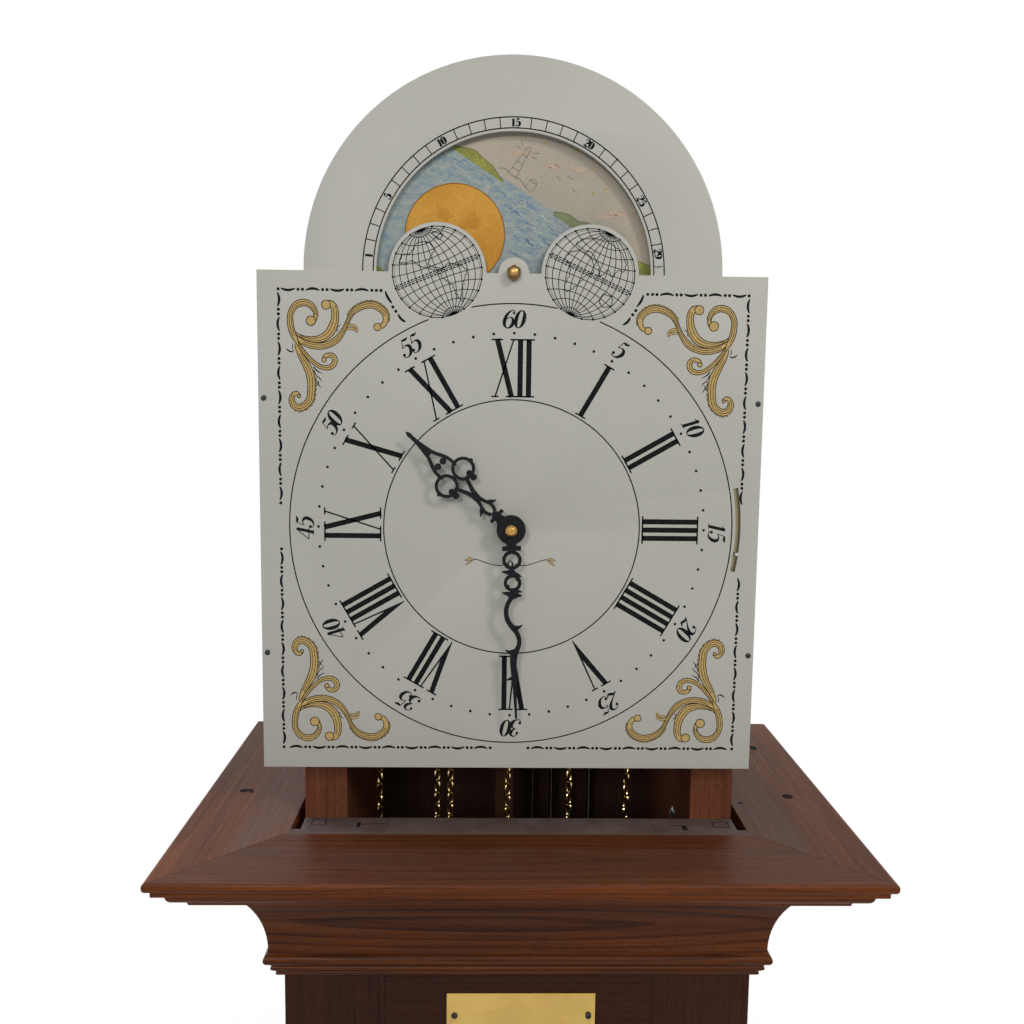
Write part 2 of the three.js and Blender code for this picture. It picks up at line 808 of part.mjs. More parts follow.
// A wheel is cut from sheet: pointed teeth round a rim, four spokes and a boss.
function makeWheel(radius, teeth, front, depth = toothDepth) {
  const wheelSpokes = 4;
  const spokeSegments = 2;
  const bossShare = 0.32;
  const rimShare = 0.82;
  const shape = toothedShape(teeth, radius, depth);
  addSpokes(shape, radius * bossShare, (radius - depth) * rimShare, wheelSpokes);
  return sheet(shape, front, wheelThickness, spokeSegments);
}

function makeMoonDisc() {
  const shape = toothedShape(moonTeeth, moonDiscRadius, moonToothDepth);
  shape.holes.push(hole(moonStudRadius + touchGap));
  return sheet(shape, dialFront + moonDiscDepth, moonDiscThickness, smallSegments / 2)
    .translate([dialOffset, 0, moonHeight]);
}

// The moon's stud: a six-sided domed nut in front of the dial and a collar behind the disc.
function makeMoonArbor() {
  const nutFront = dialFront - moonNutLength;
  const collarFront = dialFront + moonDiscDepth + moonDiscThickness + touchGap;
  const nut = turned([
    ...moonDomeShares.map(([r, h]) => [r * moonNutRadius, nutFront - h * moonDomeHeight]),
    [moonNutRadius, nutFront], [moonNutRadius, dialFront], [0, dialFront],
  ], 'y', moonNutSides);
  const studBack = collarFront + moonCollarLength;
  const stud = rod(moonStudRadius, dialFront - moonNutLength / 2, studBack, 'y', smallSegments);
  const collar = rod(moonCollarRadius, collarFront, studBack, 'y', smallSegments);
  return join([nut, stud, collar]).translate([dialOffset, 0, moonHeight]);
}

// A strap follows a line of [along, across, half width] points, all shares of the hand's length.
function strap(shares, length, steps) {
  const line = new THREE.CatmullRomCurve3(shares.map(([u, v, w]) => new THREE.Vector3(u, v, w)));
  const left = [];
  const right = [];
  for (let i = 0; i <= steps; i += 1) {
    const at = line.getPoint(i / steps);
    const along = line.getTangent(i / steps);
    const size = Math.hypot(along.x, along.y);
    const side = [(-along.y / size) * at.z, (along.x / size) * at.z];
    left.push([(at.x + side[0]) * length, (at.y + side[1]) * length]);
    right.unshift([(at.x - side[0]) * length, (at.y - side[1]) * length]);
  }
  return polygon([...left, ...right]);
}

const mirroredShares = (shares) => shares.map(([u, v, w]) => [u, -v, w]);

// Rings of a hand are given as [along, across, outer, inner] shares of its length.
function ringShape([along, across, outer, inner], length) {
  const shape = disc(outer * length, along * length, across * length);
  if (inner > 0) shape.holes.push(hole(inner * length, along * length, across * length));
  return shape;
}

const hourRingShares = [
  [0.545, 0.088, 0.085, 0.062], [0.545, -0.088, 0.085, 0.062],
  [0.475, 0.097, 0.034, 0], [0.475, -0.097, 0.034, 0],
  [0.66, 0.05, 0.025, 0], [0.66, -0.05, 0.025, 0],
];
const hourArmShares = [
  [0.30, 0.004, 0.014], [0.36, 0.022, 0.012], [0.42, 0.062, 0.012], [0.47, 0.09, 0.012],
];
const hourSpadeShares = [
  [0.56, 0.004, 0.013], [0.60, 0.06, 0.013], [0.68, 0.082, 0.013], [0.76, 0.05, 0.014], [0.88, 0.006, 0.016],
];
const hourNeckShares = [
  [0.13, 0.008, 0.014], [0.20, 0.05, 0.013], [0.27, 0.036, 0.013], [0.32, 0.004, 0.012],
];
const hourTipShares = [[0.84, 0], [0.87, 0.02], [0.96, 0.014], [1, 0], [0.96, -0.014], [0.87, -0.02]];
const hourBarbShares = [[0.19, 0.045], [0.225, 0.095], [0.25, 0.04]];
const hourCrossShares = [0.125, 0.02, 0.055];

const minuteRingShares = [[0.154, 0, 0.049, 0.034], [0.267, 0, 0.047, 0.03], [0.214, 0, 0.022, 0]];
const minuteSerpentShares = [
  [0.30, -0.002, 0.016], [0.352, -0.02, 0.012], [0.40, -0.033, 0.012], [0.45, -0.030, 0.011],
  [0.50, 0.004, 0.010], [0.55, 0.026, 0.010], [0.60, 0.026, 0.011], [0.64, 0.002, 0.010],
  [0.675, -0.02, 0.009],
];
const minuteSpearShares = [
  [0.62, 0.010, 0.006], [0.68, 0.004, 0.018], [0.74, 0.004, 0.014], [0.88, 0.002, 0.008], [1, 0, 0.003],
];
const minuteBarbShares = [
  [[0.475, -0.01], [0.497, 0.052], [0.525, 0.012]],
  [[0.625, 0.0], [0.655, -0.046], [0.69, -0.01]],
  [[0.225, 0.02], [0.238, 0.052], [0.25, 0.02]],
  [[0.225, -0.02], [0.238, -0.052], [0.25, -0.02]],
  [[0.30, 0.01], [0.33, 0.056], [0.345, 0.004]],
  [[0.30, -0.01], [0.33, -0.056], [0.345, -0.004]],
];
const minuteCrossShares = [0.095, 0.014, 0.05];

const shared = (table, length) => polygon(table.map(([u, v]) => [u * length, v * length]));

function crossbar([along, halfThick, halfWide], length) {
  return polygon([
    [(along - halfThick) * length, -halfWide * length], [(along + halfThick) * length, -halfWide * length],
    [(along + halfThick) * length, halfWide * length], [(along - halfThick) * length, halfWide * length],
  ]);
}

// A hand is cut from sheet: its pieces are laid out along +X and joined, then turned to its hour.
function makeHand(shapes, hubHole, front, angle) {
  const ringSegments = 6;
  const flat = shapes.map((shape) => sheet(shape, 0, handThickness, ringSegments));
  const hub = sheet(disc(handHubRadius), 0, handThickness, smallSegments);
  const bore = sheet(disc(hubHole), -cutOverrun, handThickness + 2 * cutOverrun, smallSegments / 2);
  return cut(join([hub, ...flat]), [bore])
    .rotate([0, angle - quarterTurn, 0])
    .translate([dialOffset, front, hubHeight]);
}

function makeHourHand() {
  const length = hourHandLength;
  const straps = [hourArmShares, hourSpadeShares, hourNeckShares]
    .flatMap((shares) => [shares, mirroredShares(shares)])
    .map((shares) => strap(shares, length, strapSteps));
  const shapes = [
    ...hourRingShares.map((ring) => ringShape(ring, length)),
    ...straps,
    shared(hourTipShares, length),
    shared(hourBarbShares, length),
    shared(hourBarbShares.map(([u, v]) => [u, -v]).reverse(), length),
    crossbar(hourCrossShares, length),
    crossbar([hourCrossShares[0] / 2, hourCrossShares[0] / 2, hourCrossShares[1]], length),
  ];
  const front = dialFront - hourHandStandoff - handThickness;
  return makeHand(shapes, arborRadius + pipeWall - touchGap, front, hourHandAngle);
}

function makeMinuteHand() {
  const length = minuteHandLength;
  const shapes = [
    ...minuteRingShares.map((ring) => ringShape(ring, length)),
    strap(minuteSerpentShares, length, serpentSteps),
    strap(minuteSpearShares, length, strapSteps),
    ...minuteBarbShares.map((barb) => shared(barb, length)),
    crossbar(minuteCrossShares, length),
    crossbar([minuteCrossShares[0] / 2, minuteCrossShares[0] / 2, minuteCrossShares[2] / 2], length),
  ];
  const front = dialFront - minuteHandStandoff - handThickness;
  return makeHand(shapes, arborRadius + touchGap, front, minuteHandAngle);
}

function makeHandNut() {
  const back = dialFront - minuteHandStandoff - handThickness - touchGap;
  const profile = handNutShares.map(([r, h]) => [r * handNutRadius, back - h * handNutLength]);
  const nut = turned(profile, 'y', smallSegments);
  const bore = rod(arborRadius + touchGap, back - handNutLength / 2, back + cutOverrun, 'y', smallSegments);
  return cut(nut, [bore]).translate([dialOffset, 0, hubHeight]);
}

// Movement plates, with the pillars and the hammer shaft on the back one.
const hammerShaftY = backPlateBack + hammerShaftSetback;
const hammerShaftHeight = seatBoardTop + movementHeight - hammerShaftDrop;

function plateOutline() {
  return polygon([
    [-movementHalfWidth, seatBoardTop], [movementHalfWidth, seatBoardTop],
    [movementHalfWidth, seatBoardTop + movementHeight], [-movementHalfWidth, seatBoardTop + movementHeight],
  ]);
}

function makeFrontPlate() {
  const plate = sheet(plateOutline(), frontPlateFront, movementPlateThickness);
  const boss = rod(bossRadius, frontPlateFront - bossLength, frontPlateBack, 'y', smallSegments);
  const boreFront = frontPlateFront - bossLength - cutOverrun;
  const bore = rod(arborRadius + touchGap, boreFront, frontPlateBack + cutOverrun, 'y', smallSegments);
  const place = [0, 0, hubHeight];
  return cut(plate.add(boss.translate(place)), [bore.translate(place)]).translate([dialOffset, 0, 0]);
}

function makeBackPlate() {
  const plate = sheet(plateOutline(), backPlateFront, movementPlateThickness);
  const plateMiddle = backPlateFront + movementPlateThickness / 2;
  const pillarX = movementHalfWidth - pillarInset;
  const pillars = [-pillarX, pillarX].flatMap((x) => [pillarInset, movementHeight - pillarInset].map((z) => {
    const pillar = rod(pillarRadius, frontPlateBack + touchGap, plateMiddle, 'y', smallSegments);
    return pillar.translate([x, 0, seatBoardTop + z]);
  }));
  const bracketX = firstRodOffset - hammerBracketOffset;
  const bracketHalf = hammerShaftRadius * 2;
  const bracket = block(
    bracketX - bracketHalf / 2, bracketX + bracketHalf / 2,
    plateMiddle, hammerShaftY + bracketHalf,
    hammerShaftHeight - bracketHalf, hammerShaftHeight + bracketHalf,
  );
  const shaftEnd = firstRodOffset + rodPitch * (hammerCount - 1) + hammerShaftOverhang;
  const shaft = rod(hammerShaftRadius, bracketX, shaftEnd, 'y', smallSegments)
    .rotate([0, 0, -quarterTurn])
    .translate([0, hammerShaftY, hammerShaftHeight]);
  const [boreFront, boreBack] = [backPlateFront - cutOverrun, backPlateBack + cutOverrun];
  const bore = rod(arborRadius + touchGap, boreFront, boreBack, 'y', smallSegments);
  return cut(join([plate, ...pillars, bracket, shaft]), [bore.translate([0, 0, pivotHeight])])
    .translate([dialOffset, 0, 0]);
}

// The centre arbor carries its wheel behind the front plate and the minute hand at its end.
function makeCentreArbor() {
  const front = dialFront - minuteHandStandoff - handThickness - touchGap - handNutLength / 3;
  const arbor = rod(arborRadius, front, backPlateFront - touchGap, 'y', smallSegments);
  const wheelFront = frontPlateBack + plateGap * centreWheelPlaceShare;
  const wheel = makeWheel(centreWheelRadius, centreWheelTeeth, wheelFront);
  return arbor.add(wheel).translate([dialOffset, 0, hubHeight]);
}

// The hour wheel and its pipe turn on the centre arbor, and the hour hand sits on the pipe.
function makeHourWheel() {
  const outer = arborRadius + pipeWall - 2 * touchGap;
  const back = frontPlateFront - bossLength - touchGap;
  const pipeFront = dialFront - hourHandStandoff - handThickness;
  const pipe = rod(outer, pipeFront, back, 'y', smallSegments);
  const collar = rod(outer + pipeWall / 2, dialFront - hourHandStandoff + touchGap, back, 'y', smallSegments);
  const shape = toothedShape(hourWheelTeeth, hourWheelRadius, toothDepth);
  const wheel = sheet(shape, back - wheelThickness, wheelThickness, smallSegments);
  const bore = rod(arborRadius + touchGap, pipeFront - cutOverrun, back + cutOverrun, 'y', smallSegments);
  return cut(join([pipe, collar, wheel]), [bore]).translate([dialOffset, 0, hubHeight]);
}

// The escape wheel has long pointed teeth and sits under the anchor.
function makeEscapeWheel() {
  const front = frontPlateBack + plateGap * escapeWheelPlaceShare;
  const wheel = makeWheel(escapeWheelRadius, escapeTeeth, front, escapeToothDepth);
  const arbor = rod(arborRadius, frontPlateBack + touchGap, backPlateFront - touchGap, 'y', smallSegments);
  return wheel.add(arbor).translate([dialOffset, 0, escapeHeight]);
}

// The anchor spans the escape wheel; its arbor passes the back plate and carries the crutch.
function makeAnchor() {
  const reach = escapeWheelRadius + palletClearance;
  const spread = THREE.MathUtils.degToRad(anchorSpread);
  const armWidth = anchorArmWidth;
  const tip = (side, r) => [side * r * Math.sin(spread), escapeHeight - pivotHeight + r * Math.cos(spread)];
  const arm = (side) => polygon([
    [-side * armWidth, 0], [0, armWidth], tip(side, reach + armWidth * 3), tip(side, reach),
    [side * (reach * Math.sin(spread) - armWidth), -armWidth * 2],
  ]);
  const wheelFront = frontPlateBack + plateGap * escapeWheelPlaceShare;
  const front = wheelFront - (anchorThickness - wheelThickness) / 2;
  const arms = [-1, 1].map((side) => sheet(arm(side), front, anchorThickness));
  const crutchFront = backPlateBack + crutchStandoff;
  const crutchBack = crutchFront + anchorThickness;
  const arbor = rod(arborRadius, frontPlateBack + touchGap, crutchBack, 'y', smallSegments);
  const crutch = block(-crutchWidth / 2, crutchWidth / 2, crutchFront, crutchBack, -crutchLength, 0);
  const prongs = [-1, 1].map((side) => {
    const near = side * (rodHalfWidth + touchGap);
    const far = side * (rodHalfWidth + touchGap + anchorThickness);
    return block(
      Math.min(near, far), Math.max(near, far), crutchFront, pendulumY + rodHalfThickness,
      -crutchLength - anchorThickness, -crutchLength + anchorThickness,
    );
  });
  const bridge = block(
    -rodHalfWidth - touchGap - anchorThickness, rodHalfWidth + touchGap + anchorThickness,
    crutchFront, crutchBack, -crutchLength - anchorThickness, -crutchLength + anchorThickness,
  );
  return join([arbor, ...arms, crutch, bridge, ...prongs]).translate([dialOffset, 0, pivotHeight]);
}

// Each train's great wheel is one with its chain sprocket and arbor.
function makeGreatWheel(x, placeShare) {
  const grooveHalf = grooveWidth / 2;
  const core = sprocketRadius - linkHalfWidth - touchGap;
  const sprocket = turned([
    [0, -grooveHalf - flangeThickness], [flangeRadius, -grooveHalf - flangeThickness],
    [flangeRadius, -grooveHalf], [core, -grooveHalf], [core, grooveHalf], [flangeRadius, grooveHalf],
    [flangeRadius, grooveHalf + flangeThickness], [0, grooveHalf + flangeThickness],
  ], 'y', sprocketSegments).translate([0, sprocketY, 0]);
  const [front, back] = [frontPlateBack + touchGap, backPlateFront - touchGap];
  const arbor = rod(greatArborRadius, front, back, 'y', smallSegments);
  const wheel = makeWheel(greatWheelRadius, greatWheelTeeth, frontPlateBack + plateGap * placeShare);
  return join([sprocket, arbor, wheel]).translate([dialOffset + x, 0, sprocketHeight]);
}

// A chain: flat links stand crosswise by turns along a path of [x, z] places.
function makeChain(places, ringAtEnd) {
  const rings = places.map(([x, z], i) => {
    const before = places[Math.max(i - 1, 0)];
    const after = places[Math.min(i + 1, places.length - 1)];
    const length = Math.hypot(after[0] - before[0], after[1] - before[1]);
    const side = [-(after[1] - before[1]) / length, (after[0] - before[0]) / length];
    const flat = i % 2 === 0;
    const wide = flat ? linkHalfWidth : linkHalfThickness;
    const deep = flat ? linkHalfThickness : linkHalfWidth;
    return [[wide, 0], [0, deep], [-wide, 0], [0, -deep]]
      .map(([a, b]) => new THREE.Vector3(x + side[0] * a, sprocketY + b, z + side[1] * a));
  });
  const index = [];
  for (let i = 0; i + 1 < rings.length; i += 1) {
    for (let k = 0; k < 4; k += 1) {
      const [a, b] = [i * 4 + k, i * 4 + ((k + 1) % 4)];
      index.push(a, b, a + 4);
      index.push(b, b + 4, a + 4);
    }
  }
  const last = (rings.length - 1) * 4;
  index.push(0, 2, 1, 0, 3, 2);
  index.push(last, last + 1, last + 2, last, last + 2, last + 3);
  const geometry = new THREE.BufferGeometry();
  const points = rings.flat().flatMap((p) => p.toArray());
  geometry.setAttribute('position', new THREE.Float32BufferAttribute(points, 3));
  geometry.setIndex(index);
  const chain = toSolid(geometry);
  if (!ringAtEnd) return chain;
  const ring = new THREE.TorusGeometry(chainRingRadius, chainRingWire, wireSides, smallSegments);
  ring.rotateY(Math.PI / 2);
  const [x, z] = places[places.length - 1];
  ring.translate(x, sprocketY, z - chainRingRadius + chainRingWire / 2);
  return chain.add(toSolid(ring));
}

const strand = (x, top, links) => [...Array(links + 1).keys()].map((i) => [x, top - i * linkPitch]);

// The free side starts at the weight's side of the sprocket, passes over it and hangs down to its ring.
function putChain(train, centre, weightSide) {
  const x = dialOffset + centre;
  const wrap = [...Array(wrapLinks).keys()].map((i) => {
    const angle = (Math.PI * i) / wrapLinks;
    const across = weightSide * sprocketRadius * Math.cos(angle);
    return [x + across, sprocketHeight + sprocketRadius * Math.sin(angle)];
  });
  const free = strand(x - weightSide * sprocketRadius, sprocketHeight, freeLinks);
  put(`chain_${train}_free`, makeChain([...wrap, ...free], true), brass);
  const drop = strand(x + weightSide * sprocketRadius, dropTop, dropLinks);
  put(`chain_${train}_drop`, makeChain(drop, false), brass);
}

// A weight: a brass shell with rounded caps, a neck and a hook ring.
function makeWeight(x) {
  const hookTop = dropBottom - touchGap;
  const top = hookTop - weightHookHeight;
  const bottom = top - weightLength;
  const shoulder = weightRadius * weightShoulderShare;
  const shell = turned([
    [0, bottom], [shoulder, bottom], [weightRadius, bottom + weightCapHeight],
    [weightRadius, top - weightCapHeight], [shoulder, top],
    [weightNeckRadius, top + weightCapHeight], [0, top + weightCapHeight],
  ], 'z');
  const hook = new THREE.TorusGeometry(weightHookRadius, weightHookWire, wireSides, smallSegments);
  hook.rotateX(Math.PI / 2);
  hook.translate(0, 0, hookTop - weightHookRadius - weightHookWire);
  return shell.add(toSolid(hook)).translate([x, sprocketY, 0]);
}

// Pendulum: a wooden rod on a suspension spring, with a lens-shaped bob above its rating nut.
function makePendulumRod() {
  const top = pivotHeight - springLength / 2;
  const bobCentre = pivotHeight - pendulumLength;
  const bottom = bobCentre - bobRadius + bobTravel;
  const stick = block(
    -rodHalfWidth, rodHalfWidth, pendulumY - rodHalfThickness, pendulumY + rodHalfThickness, bottom, top,
  );
  const spring = block(
    -springHalfThickness, springHalfThickness,
    pendulumY - springHalfWidth / 2, pendulumY + springHalfWidth / 2,
    top - springLength / 2, pivotHeight + springLength / 2,
  );
  const screw = rod(ratingScrewRadius, bottom - ratingScrewLength, bottom + cutOverrun, 'z', smallSegments)
    .translate([0, pendulumY, 0]);
  return join([stick, spring, screw]).translate([dialOffset, 0, 0]);
}

function makeBob() {
  const profile = [[0, -bobHalfThickness]];
  for (let i = 1; i < bobRings; i += 1) {
    const share = i / bobRings;
    profile.push([bobRadius * share, -bobHalfThickness + (bobHalfThickness - bobEdge) * share * share]);
  }
  profile.push([bobRadius, -bobEdge / 2]);
  const back = profile.map(([r, y]) => [r, -y]).reverse();
  const lens = turned([...profile, ...back], 'y', bobSegments);
  const slot = block(
    -rodHalfWidth - touchGap, rodHalfWidth + touchGap,
    -rodHalfThickness - touchGap, rodHalfThickness + touchGap,
    -bobRadius - cutOverrun, bobRadius + cutOverrun,
  );
  return cut(lens, [slot]).translate([dialOffset, pendulumY, pivotHeight - pendulumLength]);
}

function makeRatingNut() {
  const top = pivotHeight - pendulumLength - bobRadius - ratingNutGap;
  const bottom = top - ratingNutHeight;
  const nut = rod(ratingNutRadius, bottom, top, 'z');
  const bore = rod(ratingScrewRadius + touchGap, bottom - cutOverrun, top + cutOverrun, 'z', smallSegments);
  return cut(nut, [bore]).translate([dialOffset, pendulumY, 0]);
}

function makeSuspensionPost() {
  const back = pendulumY + springHalfWidth;
  const body = block(
    -postHalfWidth, postHalfWidth,
    backPlateBack, back, pivotHeight, pivotHeight + postHeight,
  );
  const slot = block(
    -springHalfThickness - postSlotClearance, springHalfThickness + postSlotClearance,
    pendulumY - springHalfWidth, back + cutOverrun,
    pivotHeight - cutOverrun, pivotHeight + springLength / 2 + touchGap,
  );
  const roomFront = backPlateBack - cutOverrun;
  const arborRoom = rod(arborRadius + touchGap, roomFront, pendulumY - springHalfWidth, 'y', smallSegments)
    .translate([0, 0, pivotHeight]);
  const crutchRoom = block(
    -crutchWidth, crutchWidth, roomFront, backPlateBack + 2 * crutchStandoff + anchorThickness,
    pivotHeight - cutOverrun, pivotHeight + arborRadius * 2,
  );
  return cut(body, [slot, arborRoom, crutchRoom]).translate([dialOffset, 0, 0]);
}

// Chime rods hang from a block on the back board, and hammers rest just in front of them.
const rodBlockTop = backBoardTop - rodBlockDrop;
const chimeRodY = backBoardFront - rodBlockDepth + chimeRodSetback;
const hammerX = (i) => dialOffset + firstRodOffset + rodPitch * i;

function makeChimeRods() {
  const rodBlockBottom = rodBlockTop - rodBlockHeight;
  const holder = block(
    hammerX(0) - rodBlockMargin, hammerX(hammerCount - 1) + rodBlockMargin,
    backBoardFront - rodBlockDepth, backBoardFront, rodBlockBottom, rodBlockTop,
  );
  const rods = [...Array(hammerCount).keys()].map((i) => {
    const length = longestRod - rodLengthStep * i;
    return rod(chimeRodRadius, rodBlockBottom - length, rodBlockTop - rodBlockHeight / 2, 'z', smallSegments)
      .translate([hammerX(i), chimeRodY, 0]);
  });
  return join([holder, ...rods]);
}

function makeHammer(i) {
  const headHeight = rodBlockTop - rodBlockHeight - hammerHeadDrop;
  const headBack = chimeRodY - chimeRodRadius - hammerGap;
  const headFront = headBack - hammerHeadLength;
  const eye = disc(hammerEyeRadius, hammerShaftY, hammerShaftHeight);
  eye.holes.push(hole(hammerShaftRadius + touchGap, hammerShaftY, hammerShaftHeight));
  const elbowY = (headFront + headBack) / 2;
  const half = hammerArmWidth / 2;
  const armStart = hammerShaftY + hammerEyeRadius - half;
  const arm = polygon([
    [armStart, hammerShaftHeight + half], [armStart, hammerShaftHeight - half],
    [elbowY - half, hammerShaftHeight - hammerArmWidth * 2], [elbowY - half, headHeight],
    [elbowY + half, headHeight], [elbowY + half, hammerShaftHeight - hammerArmWidth],
  ]);
  const left = hammerX(i) - hammerThickness / 2;
  const head = rod(hammerHeadRadius, headFront, headBack, 'y', smallSegments)
    .translate([hammerX(i), 0, headHeight]);
  const pieces = [eye, arm].map((shape) => sideSheet(shape, left, hammerThickness, smallSegments / 2));
  return join([...pieces, head]);
}

// The chime lever turns on the front plate's boss, and its pin shows through the dial's slot.
function makeLever() {
  const inner = bossRadius + touchGap;
  const eye = disc(inner + leverEyeWall);
  eye.holes.push(hole(inner));
  const end = leverSlotRadius + leverTongue;
  const front = frontPlateFront - touchGap - leverThickness;
  const half = leverWidth / 2;
  const arm = polygon([[inner + touchGap, -half], [end, -half], [end, half], [inner + touchGap, half]]);
  const post = rod(leverPinRadius, dialFront - leverPinLength, front + leverThickness, 'y', smallSegments)
    .translate([leverSlotRadius, 0, 0]);
  return join([sheet(eye, front, leverThickness, smallSegments), sheet(arm, front, leverThickness), post])
    .rotate([0, -leverAngle, 0])
    .translate([dialOffset, 0, hubHeight]);
}

put('back_board', makeBackBoard(), innerWood);
for (const [side, sign] of [['left', -1], ['right', 1]]) {
  const [x0, x1] = sign > 0 ? [sideBoardInner, trunkHalfWidth] : [-trunkHalfWidth, -sideBoardInner];
  const board = block(x0, x1, frameBack, backBoardFront, sideBoardFootHeight, corniceUnderside);
  put(`side_board_${side}`, board, wood);
  put(`stile_${side}`, makeStile(sign), wood);
  put(`cheek_${side}`, makeCheek(sign), wood);
  put(`base_${side}`, makeBaseSide(sign), wood);
}
put('top_rail', makeTopRail(), wood);
put('bottom_rail', makeBottomRail(), wood);
putMouldings('cornice', corniceProfile());
putMouldings('cove', coveProfile());
put('seat_board', makeSeatBoard(), innerWood);
put('brass_plate', makeBrassPlate(), brass);
put('base_front', makeBaseFront(), wood);
put('base_moulding', makeBaseMoulding(), wood);
put('door_frame', makeDoorFrame(), wood);
put('door_glass', makeDoorGlass(), glass);
put('door_knob', makeDoorKnob(), brass);
put('hinge_case_leaf', makeHingeLeaf(false), brass);
put('hinge_door_leaf', makeHingeLeaf(true), brass);
put('dial_plate', makeDial(), dialPaint);
put('moon_disc', makeMoonDisc(), moonPaint);
put('moon_arbor', makeMoonArbor(), brass);
put('front_plate', makeFrontPlate(), brass);
put('back_plate', makeBackPlate(), brass);
put('centre_arbor', makeCentreArbor(), brass);
put('hour_wheel', makeHourWheel(), brass);
put('escape_wheel', makeEscapeWheel(), brass);
put('anchor_crutch', makeAnchor(), steel);
put('chime_lever', makeLever(), steel);
put('hour_hand', makeHourHand(), handBlack);
put('minute_hand', makeMinuteHand(), handBlack);
put('hand_nut', makeHandNut(), brass);
put('suspension_post', makeSuspensionPost(), brass);
put('pendulum_rod', makePendulumRod(), innerWood);
put('pendulum_bob', makeBob(), brass);
put('rating_nut', makeRatingNut(), brass);
const trains = [['strike', strikeChainX, -1], ['time', timeChainX, 1], ['chime', chimeChainX, 1]];
for (const [train, centre, side] of trains) {
  put(`great_wheel_${train}`, makeGreatWheel(centre, greatWheelPlaceShares[train]), brass);
  putChain(train, centre, side);
  put(`weight_${train}`, makeWeight(dialOffset + centre + side * sprocketRadius), brass);
}
put('chime_rods', makeChimeRods(), steel);
for (let i = 0; i < hammerCount; i += 1) put(`hammer_${i + 1}`, makeHammer(i), brass);

export default clock;
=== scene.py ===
import math

import bmesh
import bpy
import numpy as np
from mathutils import Matrix, Vector


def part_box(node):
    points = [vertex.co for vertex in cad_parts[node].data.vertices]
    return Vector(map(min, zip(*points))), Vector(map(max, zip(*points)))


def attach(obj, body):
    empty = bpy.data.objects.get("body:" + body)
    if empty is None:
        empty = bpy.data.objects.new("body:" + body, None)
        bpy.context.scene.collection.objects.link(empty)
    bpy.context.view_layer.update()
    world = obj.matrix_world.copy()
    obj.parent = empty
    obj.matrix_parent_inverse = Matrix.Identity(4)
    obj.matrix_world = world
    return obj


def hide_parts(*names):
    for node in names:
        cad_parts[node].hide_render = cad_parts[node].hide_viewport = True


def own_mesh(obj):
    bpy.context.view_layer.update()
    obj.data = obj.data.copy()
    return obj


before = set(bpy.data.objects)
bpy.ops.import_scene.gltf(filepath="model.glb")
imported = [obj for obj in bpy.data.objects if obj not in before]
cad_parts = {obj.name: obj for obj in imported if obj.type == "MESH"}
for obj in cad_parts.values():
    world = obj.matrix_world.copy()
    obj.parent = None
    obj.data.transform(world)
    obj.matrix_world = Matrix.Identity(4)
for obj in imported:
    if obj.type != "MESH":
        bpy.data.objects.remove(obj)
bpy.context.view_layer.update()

# The room: a pale floor that fades into a white background, soft lamps above and in front,
# and a camera that stands before the dial and looks slightly down on the cornice.
MM = 0.001
FLOOR_HALF = 6.0
CAMERA_PLACE = (-0.01978, -0.62606, 1.64948)
CAMERA_RIGHT = (0.99969, -0.02140, 0.01261)
CAMERA_DOWN = (0.01010, -0.11377, -0.99346)
CAMERA_FORWARD = (0.02269, 0.99328, -0.11352)
CAMERA_LENS = 35.675
CAMERA_SENSOR = 36
CAMERA_NEAREST = 0.01
PAPER_WHITE = (1.0, 1.0, 1.0, 1.0)
SKY_LIGHT = (0.93, 0.96, 1.0, 1.0)
SKY_STRENGTH = 0.30
FLOOR_GREY = (0.80, 0.80, 0.80, 1.0)
SHADOW_SHARE = 0.42
FLOOR_NEAR, FLOOR_FAR = 0.5, 2.2

scene = bpy.context.scene
scene.view_settings.view_transform = "Standard"


def maths(tree, operation, *values, clamp=False):
    """One Math node; each input is a socket or a plain number."""
    node = tree.nodes.new("ShaderNodeMath")
    node.operation = operation
    node.use_clamp = clamp
    for slot, value in enumerate(values):
        if isinstance(value, (int, float)):
            node.inputs[slot].default_value = value
        else:
            tree.links.new(value, node.inputs[slot])
    return node.outputs[0]


def seen_ray(tree):
    """1 for camera, glossy and transmission rays, 0 for the rays that light the object."""
    path = tree.nodes.new("ShaderNodeLightPath")
    seen = maths(tree, "MAXIMUM", path.outputs["Is Camera Ray"], path.outputs["Is Glossy Ray"])
    return maths(tree, "MAXIMUM", seen, path.outputs["Is Transmission Ray"])


def shader_node(tree, kind, colour, strength=None):
    """A plain shader node with its colour, and its strength where it has one."""
    node = tree.nodes.new(kind)
    node.inputs["Color"].default_value = colour
    if strength is not None:
        node.inputs["Strength"].default_value = strength
    return node.outputs[0]


def mixed(tree, factor, first, second):
    """A Mix Shader node."""
    node = tree.nodes.new("ShaderNodeMixShader")
    tree.links.new(factor, node.inputs[0])
    tree.links.new(first, node.inputs[1])
    tree.links.new(second, node.inputs[2])
    return node.outputs[0]


world = bpy.data.worlds.new("room")
world.use_nodes = True
scene.world = world
tree = world.node_tree
sky = shader_node(tree, "ShaderNodeBackground", SKY_LIGHT, SKY_STRENGTH)
paper = shader_node(tree, "ShaderNodeBackground", PAPER_WHITE, 1.0)
tree.links.new(mixed(tree, seen_ray(tree), sky, paper), tree.nodes["World Output"].inputs["Surface"])

floor_mesh = bpy.data.meshes.new("floor")
floor_mesh.from_pydata(
    [(-FLOOR_HALF, -FLOOR_HALF, 0), (FLOOR_HALF, -FLOOR_HALF, 0),
     (FLOOR_HALF, FLOOR_HALF, 0), (-FLOOR_HALF, FLOOR_HALF, 0)], [], [(0, 1, 2, 3)])
floor = bpy.data.objects.new("floor", floor_mesh)
scene.collection.objects.link(floor)

